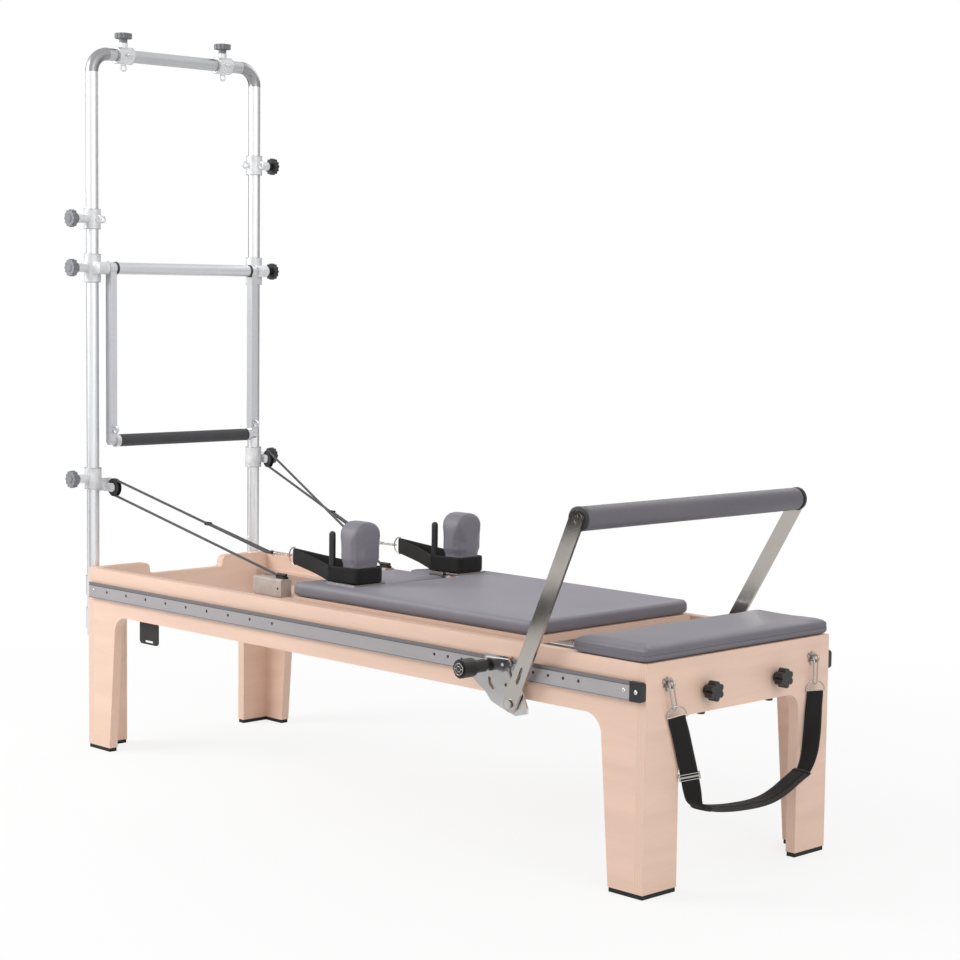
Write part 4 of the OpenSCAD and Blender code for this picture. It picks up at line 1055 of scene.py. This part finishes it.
class REFORMER_OT_grips(bpy.types.Operator):
    """The padded roll on the footbar and the foam grip on the push bar."""

    bl_idname = "reformer.grips"
    bl_label = "Grips"

    def execute(self, context):
        x, z, half, r = bar_of(*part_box("footbar_grip"))
        half -= 0.0006
        roll = padded_roll("footbar_roll", (x, z), half, r,
                           ((0, 0.8), (0.002, 0.93), (0.006, 0.985), (0.012, 1)),
                           "vinyl_grip", count=90, wave=0.004)
        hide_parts("footbar_grip")
        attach(roll, "footbar")
        back = [(x - r * 0.72, y, z - r * 0.72)
                for y in np.linspace(-half + 0.01, half - 0.01, 120)]
        welt = seam("roll_seam", roll, [back], "vinyl_grip", 0.0009)
        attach(welt, "footbar")
        x, z, half, r = bar_of(*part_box("push_bar_grip"))
        grip = padded_roll("push_grip", (x, z), half, r,
                           ((0, 0.86), (0.0015, 0.95), (0.005, 1.0), (0.01, 1)), "foam",
                           count=60)
        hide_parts("push_bar_grip")
        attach(grip, "push_bar")
        return {"FINISHED"}


# ---------------------------------------------------------------- ropes, straps, springs

# The swivel rings that tie the ropes to the hand loops.
RINGS = {"near": (858, -220, 698), "far": (858, 205, 698)}
# Each rope: its cleat, its pulley, the pulley's yaw, and which way up it goes round.
ROPES = {"near": ((884, -300, 649), (10, -275, 845), 0.0, 1),
         "far": ((884, 110, 649), (16, 358, 910), -13.5, -1)}
PULLEY_R = 26                      # where the rope runs on a pulley
SWIVEL_T = 104                     # from the ring in the webbing back to the swivel ring


def rope_route(cleat, pulley, ring, yaw, s):
    """Cleat, round the pulley, through the ring and back along itself, in millimetres."""
    yaw = math.radians(yaw)
    a = np.array([math.cos(yaw), math.sin(yaw), 0])
    u = np.array([0, 0, s])
    cleat, pulley = np.array(cleat, float), np.array(pulley, float)
    e = np.array(ring, float) - [SWIVEL_T, 0, 0]
    low, high = pulley - PULLEY_R * u + 1.5 * a, pulley + PULLEY_R * u + 1.5 * a
    route = [cleat + (low - cleat) * k / 9 for k in range(9)]
    for q in range(-90, 91, 10):
        w = math.radians(q)
        route.append(pulley - PULLEY_R * math.cos(w) * a + PULLEY_R * math.sin(w) * u)
    g = e - [14, 6, 0]
    route += [high + (g - high) * k / 9 for k in range(1, 9)]
    route += [e + q for q in ([-14, -6, 0], [-6, -5.8, 0], [0, -5.8, 0], [4.1, -4.1, 0],
                              [5.8, 0, 0], [4.1, 4.1, 0], [0, 5.8, 0], [-6, 5.8, 0])]
    g = e - [14, -6, 0]
    route += [g + (high - g) * k / 8 - [0, k * 0.6, 0] for k in range(4)]
    return route


class REFORMER_OT_ropes(bpy.types.Operator):
    """The two braided ropes, from their cleats over the pulleys to the hand loops."""

    bl_idname = "reformer.ropes"
    bl_label = "Ropes"

    def execute(self, context):
        r = sizes().rope / 2
        for side, (cleat, pulley, yaw, s) in ROPES.items():
            route = rope_route(cleat, pulley, RINGS[side], yaw, s)
            route = smooth_path([at(*q) for q in route], 0.005)
            # The turn by the pulley and the rest of the rope are made as separate pieces.
            cut = route[:, 0] < -1.0
            a, b = int(np.argmax(cut)), len(cut) - int(np.argmax(cut[::-1]))
            out = tube("rope_out", route[:a + 1], r, "rope", 14)
            back = tube("rope_back", route[b - 1:], r, "rope", 14)
            turn = tube("rope_" + side + "_turn", route[a:b], r, "rope", 14)
            run = join("rope_" + side, [out, back, self.whipping(route[-1], r)])
            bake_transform(run)
            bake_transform(turn)
            if side == "far":
                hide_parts("ropes")
        return {"FINISHED"}

    def whipping(self, end, r):
        """A short wound binding where the doubled part of the rope ends."""
        winds, steps, length = 9, 12, 0.022
        points = []
        for k in range(winds * steps + 1):
            w = 2 * math.pi * k / steps
            points.append((end[0] + 0.012 - length * k / (winds * steps),
                           end[1] - 0.0035 + math.cos(w) * r * 1.75,
                           end[2] + math.sin(w) * r * 1.25))
        return tube("whipping", points, 0.0013, "rope", 6, side=(1, 0.02, 0.01))


WEB_THICK = 0.003                  # webbing, in metres
FACE = 0.0017                      # where a stitch lies on the face of the webbing


def loop_path(y, ring):
    """Middle line of the webbing round a shoulder rest and its peg, in metres."""
    z, peg, rest = 671.2, PEG_T, 1105
    x, ry, rz = ring
    p = [(x + 3.9, ry, rz), (x + 5, ry - 3, rz), (x + 8, ry - 4.4, rz),
         (peg - 100, (ry + y - 62) / 2, (rz + z) / 2), (peg - 8, y - 62, z + 2),
         (peg + 3, y - 62.6, z), (rest + 40, y - 51.5, z), (rest + 72, y - 48.5, z),
         (rest + 82.4, y - 43, z), (rest + 84.2, y - 30, z), (rest + 84.2, y + 30, z),
         (rest + 82.4, y + 43, z), (rest + 72, y + 48, z), (rest + 8, y + 48, z),
         (rest - 6, y + 45.5, z), ((rest + x) / 2, (ry + y + 46) / 2, (rz + z) / 2),
         (x + 8, ry + 4.4, rz), (x + 5, ry + 3, rz)]
    return smooth_path([at(*q) for q in p], 0.005, closed=True)


class REFORMER_OT_hand_loops(bpy.types.Operator):
    """The webbing hand loops round the shoulder rests, sewn together behind their rings."""

    bl_idname = "reformer.hand_loops"
    bl_label = "Hand loops"

    def execute(self, context):
        bands, lines = [], []
        for y, ring in ((-REST_Y, RINGS["near"]), (REST_Y, RINGS["far"])):
            path = loop_path(y, ring)
            up = np.tile([0, 0, 1.0], (len(path), 1))
            bands.append(strap("loop", path, up, sizes().webbing, WEB_THICK, "webbing",
                               closed=True))
            near = [q for q in path if 0.012 < q[0] - at(*ring)[0] < 0.19]
            for s in (-1, 1):
                part = sorted((q for q in near if s * (q[1] - ring[1] / 1000) > 0),
                              key=lambda q: q[0])
                for h in (-0.019, 0.019):
                    lines.append([Vector((q[0], q[1] + s * FACE, q[2] + h)) for q in part])
        loops = join("hand_loop_webbing", bands)
        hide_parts("hand_loops")
        thread = stitches("hand_loop_stitches", lines)
        for o in (loops, thread):
            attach(o, "carriage")
        return {"FINISHED"}


# The foot strap hangs from eyes at EYE_T, EYE_LOW; the left one's link leans by SLANT.
EYE_T, STRAP_T, HOOK_Z, EYE_LOW, BOW = 2416, 2428, 531.3, 526, 82.5
SLANT = math.radians(16)
LINK = BOW + 2 - HOOK_Z + EYE_LOW
WEB_S, WEB_Z = math.sin(SLANT) * LINK, EYE_LOW - math.cos(SLANT) * LINK
# The webs: points, the directions of the width there, the doubled length and its side.
WEBS = (([(EYE_T, WEB_S - 293, WEB_Z), (EYE_T, WEB_S - 289.4, WEB_Z - 12.6),
          (2418, -256, 402), (2420, -241, 350), (2422.4, -230, 310), (2423.4, -222, 280),
          (2424, -215, 254), (2426, -210, 232), (STRAP_T, -200.4, 216.2),
          (STRAP_T, -192.4, 214.1)],
         [(0.5, 0.83, 0.24), (0.5, 0.84, 0.2), (0.55, 0.8, 0.2), (0.65, 0.74, 0.2),
          (0.7, 0.68, 0.2), (0.7, 0.68, 0.2), (0.85, 0.5, 0.2), (0.95, 0.25, 0.1), (1, 0, 0),
          (1, 0, 0)], 0.16, 1),
        ([(STRAP_T, 226.4, 240.2), (STRAP_T, 235, 243.6), (STRAP_T, 250, 266),
          (STRAP_T - 1, 262, 296), (STRAP_T - 4, 273, 338), (STRAP_T - 7, 281, 382),
          (EYE_T + 1, 289, 412), (EYE_T, 293, HOOK_Z - BOW - 14),
          (EYE_T, 293, HOOK_Z - BOW - 2)],
         [(1, 0, 0), (1, 0, 0), (1, 0.15, 0), (0.9, 0.4, 0.1), (0.75, 0.6, 0.1),
          (0.6, 0.8, 0.1), (0.5, 0.86, 0), (0.5, 0.866, 0), (0.5, 0.866, 0)], 0.155, -1))
PAD_ROUTE = [(STRAP_T, y, z) for y, z in (
    (-194, 214.6), (-150, 203), (-90, 194), (-30, 189), (30, 187), (85, 191), (135, 204),
    (180, 222), (228, 240.9))]


class REFORMER_OT_foot_strap(bpy.types.Operator):
    """The padded foot strap that hangs from the eyes of the foot end."""

    bl_idname = "reformer.foot_strap"
    bl_label = "Foot strap"

    def execute(self, context):
        webs, lines = [], []
        wide, edges = sizes().webbing, (-0.0195, 0.0195)
        for route, dirs, doubled, out in WEBS:
            p = smooth_path([at(*q) for q in route], 0.004, extra=dirs)
            p, d = p[:, :3], p[:, 3:]
            webs.append(strap("web", p, d, wide, WEB_THICK, "webbing"))
            a, b = strap_frame(p, d)
            lines += [p + a * side + b * face for side in edges for face in (-FACE, FACE)]
            drop = p[:, 2].max() - p[:, 2]
            fold = (drop > 0.004) & (drop < doubled)
            p, a, b = p[fold], a[fold], b[fold]
            webs.append(strap("fold", p + b * 0.0032 * out, a, wide * 0.98, 0.0028, "webbing"))
            lines += [p + a * side + b * 0.0048 * out for side in edges]
        web = join("strap_webs", webs)
        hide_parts("strap_webbing")
        thread = stitches("strap_web_stitches", lines)
        p = smooth_path([at(*q) for q in PAD_ROUTE], 0.005)
        d = np.tile([1.0, 0, 0], (len(p), 1))
        _, b = strap_frame(p, d)
        wide = sizes().strap_pad
        pad = strap("foot_strap_pad", p, d, wide, 0.012, "strap_foam", crown=0.12)
        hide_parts("strap_pad")
        seams = [p + d * side + b * face for side in (-0.027, 0.027)
                 for face in (-0.0064, 0.0064)]
        sewn = stitches("strap_pad_stitches",
                        [cling(pad, line[2:-2], 0.0002) for line in seams])
        band = strap("strap_pad_band", p + b * 0.0066, d, 0.040, 0.0016, "webbing")
        ends = [strap("end", p[a:z], d[a:z], wide * 1.012, 0.0146, "webbing", crown=0.12)
                for a, z in ((1, 6), (len(p) - 4, len(p) - 1))]
        ends = join("strap_pad_ends", ends)
        for o in (web, thread, pad, sewn, band, ends):
            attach(o, "foot_strap")
        return {"FINISHED"}


class REFORMER_OT_springs(bpy.types.Operator):
    """The wound springs between the carriage and the fixed spring bar."""

    bl_idname = "reformer.springs"
    bl_label = "Springs"

    def execute(self, context):
        a, b = at(1538, 0, 520)[0], at(2016, 0, 520)[0]
        z, radius, wire, ys = 0.52, 0.0135, 0.0019, (-0.21, -0.07, 0.07, 0.21)
        coils = grow("spring_coils", "Wound spring", [(a, y, z) for y in ys], [],
                     {"Curls": float(sizes().curls), "Radius": radius, "Length": b - a,
                      "Wire": wire}, "wire")
        hooks = []
        for y in ys:
            for x, s in ((a, 1), (b, -1)):
                line = [(x, y + radius, z), (x - s * 0.004, y + 0.008, 0.528),
                        (x - s * 0.009, y, 0.524), (x - s * 0.0145, y, z),
                        (x - s * 0.0217, y, z)]
                hooks.append(tube("hook", smooth_path(line, 0.002), wire, "wire", 8,
                                  side=(0.03, 0.05, 1)))
        springs = join("springs", [coils] + hooks)
        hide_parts("carriage_springs")
        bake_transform(springs)
        return {"FINISHED"}


# ---------------------------------------------------------------- small fittings

# The collars that slide on the uprights: side, height and half length.
COLLARS = {"ring_clamp_near": (-1, 1712, 31.5), "ring_clamp_far": (1, 1915, 31.5),
           "pulley_clamp_near": (-1, 875, 33.5), "pulley_clamp_far": (1, 916, 33.5)}


def lip(middle, side):
    """A thin turned ring on a collar whose axis points along side."""
    u = Vector(side).orthogonal().normalized()
    v = Vector(side).cross(u)
    path = [middle + (u * math.cos(w) + v * math.sin(w)) * COLLAR / 1000 for w in turns(48)]
    return tube("lip", path, 0.0009, "wire", 8, side=[q + 0.01 for q in side])


def turned(line, lumps, radius, sides):
    """A turned black piece along the line."""
    return tube("turned", line, radius, "black", sides, side=(1, 0.02, 0), lumps=lumps)


class REFORMER_OT_fittings(bpy.types.Operator):
    """Screws, sockets, sleeves, end rings and other small fittings."""

    bl_idname = "reformer.fittings"
    bl_label = "Small fittings"

    def execute(self, context):
        self.frame_screws()
        self.collar_rims()
        self.peg_sleeves()
        self.grip_end_rings()
        self.arm_screws()
        self.axle_rings()
        self.lock_pin_faces()
        self.panel_plugs()
        return {"FINISHED"}

    def give(self, o, body, slot):
        """Hands a fitting over with its body; slot is not used."""
        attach(o, body)

    def frame_screws(self):
        """The screws of the rail caps and the sockets of the tower brackets."""
        points, ways = [], []
        for s in (-1, 1):
            points += [at(44, s * 381.9, 520), at(2338, s * 381.9, 520), at(2380, s * 385.4, 520)]
            ways += [(0, s, 0)] * 3
        self.give(screws("rail_screws", points, ways, 0.0068, "plate", 0.002), "frame", "steel")
        points = [at(-9.1, s * (TUBE_Y + y), z + k * h / 4) for s in (-1, 1)
                  for z, h in ((525, 63), (418, 69)) for y in (-35, 32) for k in (-1, 1)]
        ways = [(-1, 0, 0)] * len(points)
        self.give(screws("bracket_sockets", points, ways, 0.0034, "socket", 0.0006), "frame",
                  "black_plastic")

    def collar_rims(self):
        """The turned lips at both ends of each collar."""
        upright = (0, 0, 1)
        for body, (s, z, half) in COLLARS.items():
            lips = [lip(at(TUBE_T, s * TUBE_Y, z + k * half), upright) for k in (-1, 1)]
            self.give(join(body + "_rims", lips), body, "grey_metal")
        lips = [lip(at(TUBE_T, s * TUBE_Y, AXLE_Z + k * 45), upright)
                for s in (-1, 1) for k in (-1, 1)]
        self.give(join("bar_clamp_rims", lips), "bar_slide", "grey_metal")
        for body, s in (("top_clamp_near", -1), ("top_clamp_far", 1)):
            lips = [lip(at(TUBE_T, s * 200.5 - 7.5 + k * 28.5, BAR_Z * 1000), (0, 1, 0))
                    for k in (-1, 1)]
            self.give(join(body + "_rims", lips), body, "grey_metal")

    def peg_sleeves(self):
        """The sleeves of the rope pegs: a collar, a shank and a domed end."""
        r, foot, dome = 9.7, 648.0, 785.0
        levels = [foot, foot + 0.5, foot + 5, foot + 6] + list(np.linspace(foot + 12, dome, 8))
        lumps = [1.28, 1.32, 1.3, 1.0] + [1.0] * 8
        for k in range(1, 8):
            w = k / 7.3 * math.pi / 2
            levels.append(dome + r * math.sin(w))
            lumps.append(math.cos(w))
        parts = [turned([at(PEG_T, y, z) for z in levels], lumps, r / 1000, 28)
                 for y in (-255, 153)]
        self.give(join("peg_sleeves", parts), "carriage", "black_plastic")

    def grip_end_rings(self):
        """The black rings at both ends of the footbar's roll."""
        x, z, _, _ = bar_of(*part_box("footbar_grip"))
        ys = [433.3, 433.6, 434.4, 438, 441.6, 442.7, 442.95]
        lumps = [0.96, 0.99, 1.0, 1.0, 1.0, 0.99, 0.97]
        parts = [turned([(x, s * y / 1000, z) for y in ys], lumps, 0.0317, 48) for s in (-1, 1)]
        self.give(join("grip_end_rings", parts), "footbar", "black_plastic")

    def arm_screws(self):
        """The pair of screws through the upper end of each footbar arm."""
        lean = math.radians(28)
        x, z, _, _ = bar_of(*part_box("footbar_grip"))
        points = [(x + e * math.sin(lean), s * 0.4530, z + e * math.cos(lean))
                  for s in (-1, 1) for e in (-0.01, 0.01)]
        ways = [(0, s, 0) for s in (-1, -1, 1, 1)]
        self.give(screws("arm_screws", points, ways, 0.0052, "plate"), "footbar", "steel")

    def axle_rings(self):
        """The black stop rings at both ends of the push bar's axle."""
        ys = [268.3, 268.6, 269.4, 274.4, 275.2, 275.5]
        lumps = [0.96, 0.99, 1.0, 1.0, 0.99, 0.96]
        parts = [turned([at(AXLE_T, s * y, AXLE_Z) for y in ys], lumps, 0.0212, 40)
                 for s in (-1, 1)]
        self.give(join("axle_rings", parts), "push_bar", "black_plastic")

    def lock_pin_faces(self):
        """Two rings and six spokes on the outer face of each lock pin."""
        t, y, z = LOCK_PIN
        across = (0.01, 1, 0.02)
        for side, s in (("near", -1), ("far", 1)):
            def spot(r, w):
                return at(t + r * math.cos(w), s * y, z + r * math.sin(w))

            parts = [tube("ring", [spot(r, w) for w in turns(48)], wire, "wire", 8, side=across)
                     for r, wire in ((15.2, 0.0011), (7.0, 0.0009))]
            parts += [tube("spoke", [spot(r, w) for r in (7.5, 10, 12.5, 15)], 0.0008, "wire",
                           6, side=across) for w in turns(6)[:-1]]
            self.give(join("lock_pin_face_" + side, parts), "lock_pin_" + side, "steel")

    def panel_plugs(self):
        """Two plugs under the foot end panel, below the knobs."""
        levels, lumps = [446, 445, 437.5, 436.6, 436.2], [1.0, 1.0, 1.0, 0.95, 0.8]
        parts = [turned([at(2382, y, z) for z in levels], lumps, 0.0105, 28)
                 for y in (-138, 138)]
        self.give(join("panel_plugs", parts), "frame", "black_plastic")


# ---------------------------------------------------------------- stage


class REFORMER_OT_stage(bpy.types.Operator):
    """Sets the floor, the lamps, the white surroundings and the camera."""

    bl_idname = "reformer.stage"
    bl_label = "Stage"

    def execute(self, context):
        context.scene.view_settings.view_transform = "Standard"
        self.surroundings(context.scene)
        self.floor()
        self.lamp("Key", (-3.0, -3.4, 3.2), (-0.5, 0, 0.7), 2.6, 150)
        self.lamp("Front", (5.2, -1.4, 3.4), (0, 0, 0.7), 3.0, 78)
        self.lamp("Back", (-1.0, 5.0, 4.2), (0, 0, 0.9), 3.4, 70)
        self.card("Low card", (-0.77, -2.14, 0.003), (0.45, 1.6), (0, 0, 45), 0.03)
        self.card("Side card", (-1.5, -2.9, 0.36), (2.2, 0.72), (90, 0, -45), 0.03)
        self.card("Far card", (-0.4, 4.6, 1.6), (7.4, 3.6), (90, 0, 0), 0.3)
        self.card("Head card", (-5.0, 1.0, 1.6), (6.4, 3.6), (90, 0, 84), 0.25)
        self.camera(context.scene)
        return {"FINISHED"}

    def see_white(self, n):
        """1 for rays that look at the surroundings directly or in a mirror."""
        rays = n.put("ShaderNodeLightPath").node.outputs
        top = n.maths("MAXIMUM", rays["Is Camera Ray"], rays["Is Glossy Ray"])
        return n.maths("MAXIMUM", top, rays["Is Transmission Ray"])

    def surroundings(self, scene):
        scene.world = bpy.data.worlds.new("Studio")
        scene.world.use_nodes = True
        n = Nodes(scene.world.node_tree)
        lit = n.tree.nodes["Background"]
        n.feed((1, 1, 1, 1), lit.inputs["Color"])
        n.feed(0.66, lit.inputs["Strength"])
        white = n.put("ShaderNodeBackground", Color=(1, 1, 1, 1), Strength=1.0)
        mix = n.put("ShaderNodeMixShader", i0=self.see_white(n), i1=lit.outputs[0], i2=white)
        n.feed(mix, n.tree.nodes["World Output"].inputs[0])

    def floor(self):
        """A pale floor that turns pure white away from the reformer."""
        radius, near, far = 40, 1.2, 3.6
        o = shown("Floor", bpy.data.meshes.new("Floor"))
        edit(o, lambda bm: bmesh.ops.create_circle(bm, cap_ends=True, radius=radius,
                                                   segments=64))
        f = Finish("Pale floor", [0.82] * 3, 0.9, Specular_IOR_Level=0.1)
        reach = f.put("ShaderNodeVectorMath", "Value", {"operation": "LENGTH"},
                      i0=f.put("ShaderNodeTexCoord", "Object"))
        fade = f.put("ShaderNodeMapRange", 0, {"interpolation_type": "SMOOTHSTEP"}, Value=reach,
                     From_Min=near, From_Max=far, To_Min=0.8, To_Max=1.0)
        glow = f.put("ShaderNodeEmission", Strength=1.0)
        mix = f.put("ShaderNodeMixShader", i0=f.maths("MULTIPLY", fade, self.see_white(f)),
                    i1=f.shader.outputs[0], i2=glow)
        f.feed(mix, f.tree.nodes["Material Output"].inputs[0])
        o.data.materials.append(f.material)

    def card(self, name, where, size, turn, tone):
        """A grey card that only shows as a reflection in metal."""
        w, h = size[0] / 2, size[1] / 2
        mesh = bpy.data.meshes.new(name)
        mesh.from_pydata([(-w, -h, 0), (w, -h, 0), (w, h, 0), (-w, h, 0)], [], [(0, 1, 2, 3)])
        mesh.materials.append(Finish(name, [tone] * 3, 1.0).material)
        o = shown(name, mesh)
        o.location = where
        o.rotation_euler = [math.radians(a) for a in turn]
        for ray in ("camera", "diffuse", "shadow", "transmission", "volume_scatter"):
            setattr(o, "visible_" + ray, False)

    def lamp(self, name, where, aim, size, power):
        """A square lamp aimed at a point."""
        light = bpy.data.lights.new(name, "AREA")
        light.shape, light.size, light.energy = "SQUARE", size, power
        o = shown(name, light)
        o.location = where
        o.rotation_euler = (Vector(aim) - Vector(where)).to_track_quat("-Z", "Y").to_euler()

    def camera(self, scene):
        """The camera that was fitted to the photograph."""
        yaw, pitch, roll = (math.radians(a) for a in (44.34, 4.98, 0.704))
        ahead = Vector((-math.cos(pitch) * math.cos(yaw), math.cos(pitch) * math.sin(yaw),
                        -math.sin(pitch)))
        right = ahead.cross(Vector((0, 0, 1))).normalized()
        up = right.cross(ahead)
        r = right * math.cos(roll) + up * math.sin(roll)
        u = up * math.cos(roll) - right * math.sin(roll)
        cam = bpy.data.cameras.new("Camera")
        cam.lens, cam.sensor_width = 80.5, 36
        cam.clip_start, cam.clip_end = 0.1, 100
        scene.camera = shown("Camera", cam)
        turn = Matrix((r, u, -ahead)).transposed().to_4x4()
        scene.camera.matrix_world = Matrix.Translation((4.6217, -4.2909, 1.4902)) @ turn


class REFORMER_PT_panel(bpy.types.Panel):
    """The steps that dress the reformer, in order."""

    bl_idname = "REFORMER_PT_panel"
    bl_label = "Pilates tower reformer"
    bl_space_type = "VIEW_3D"
    bl_region_type = "UI"
    bl_category = "Reformer"

    def draw(self, context):
        for group in (context.scene.reformer_colours, context.scene.reformer_sizes):
            box = self.layout.box()
            for key in group.__annotations__:
                box.prop(group, key)
        for step in STEPS:
            self.layout.operator(step.bl_idname)


STEPS = (REFORMER_OT_finishes, REFORMER_OT_ropes, REFORMER_OT_carriage_pad,
         REFORMER_OT_headrest_pad, REFORMER_OT_platform_pad, REFORMER_OT_shoulder_rests,
         REFORMER_OT_grips, REFORMER_OT_hand_loops, REFORMER_OT_foot_strap, REFORMER_OT_springs,
         REFORMER_OT_fittings, REFORMER_OT_stage)
CLASSES = (REFORMER_PG_colours, REFORMER_PG_sizes, REFORMER_PT_panel) + STEPS


def register():
    for c in CLASSES:
        bpy.utils.register_class(c)
    bpy.types.Scene.reformer_colours = PointerProperty(type=REFORMER_PG_colours)
    bpy.types.Scene.reformer_sizes = PointerProperty(type=REFORMER_PG_sizes)


def unregister():
    del bpy.types.Scene.reformer_colours
    del bpy.types.Scene.reformer_sizes
    for c in reversed(CLASSES):
        bpy.utils.unregister_class(c)


def main():
    register()
    bpy.ops.reformer.stage()
    for step in STEPS[:-1]:
        getattr(bpy.ops.reformer, step.bl_idname.split(".")[1])()


if __name__ == "__main__":
    main()
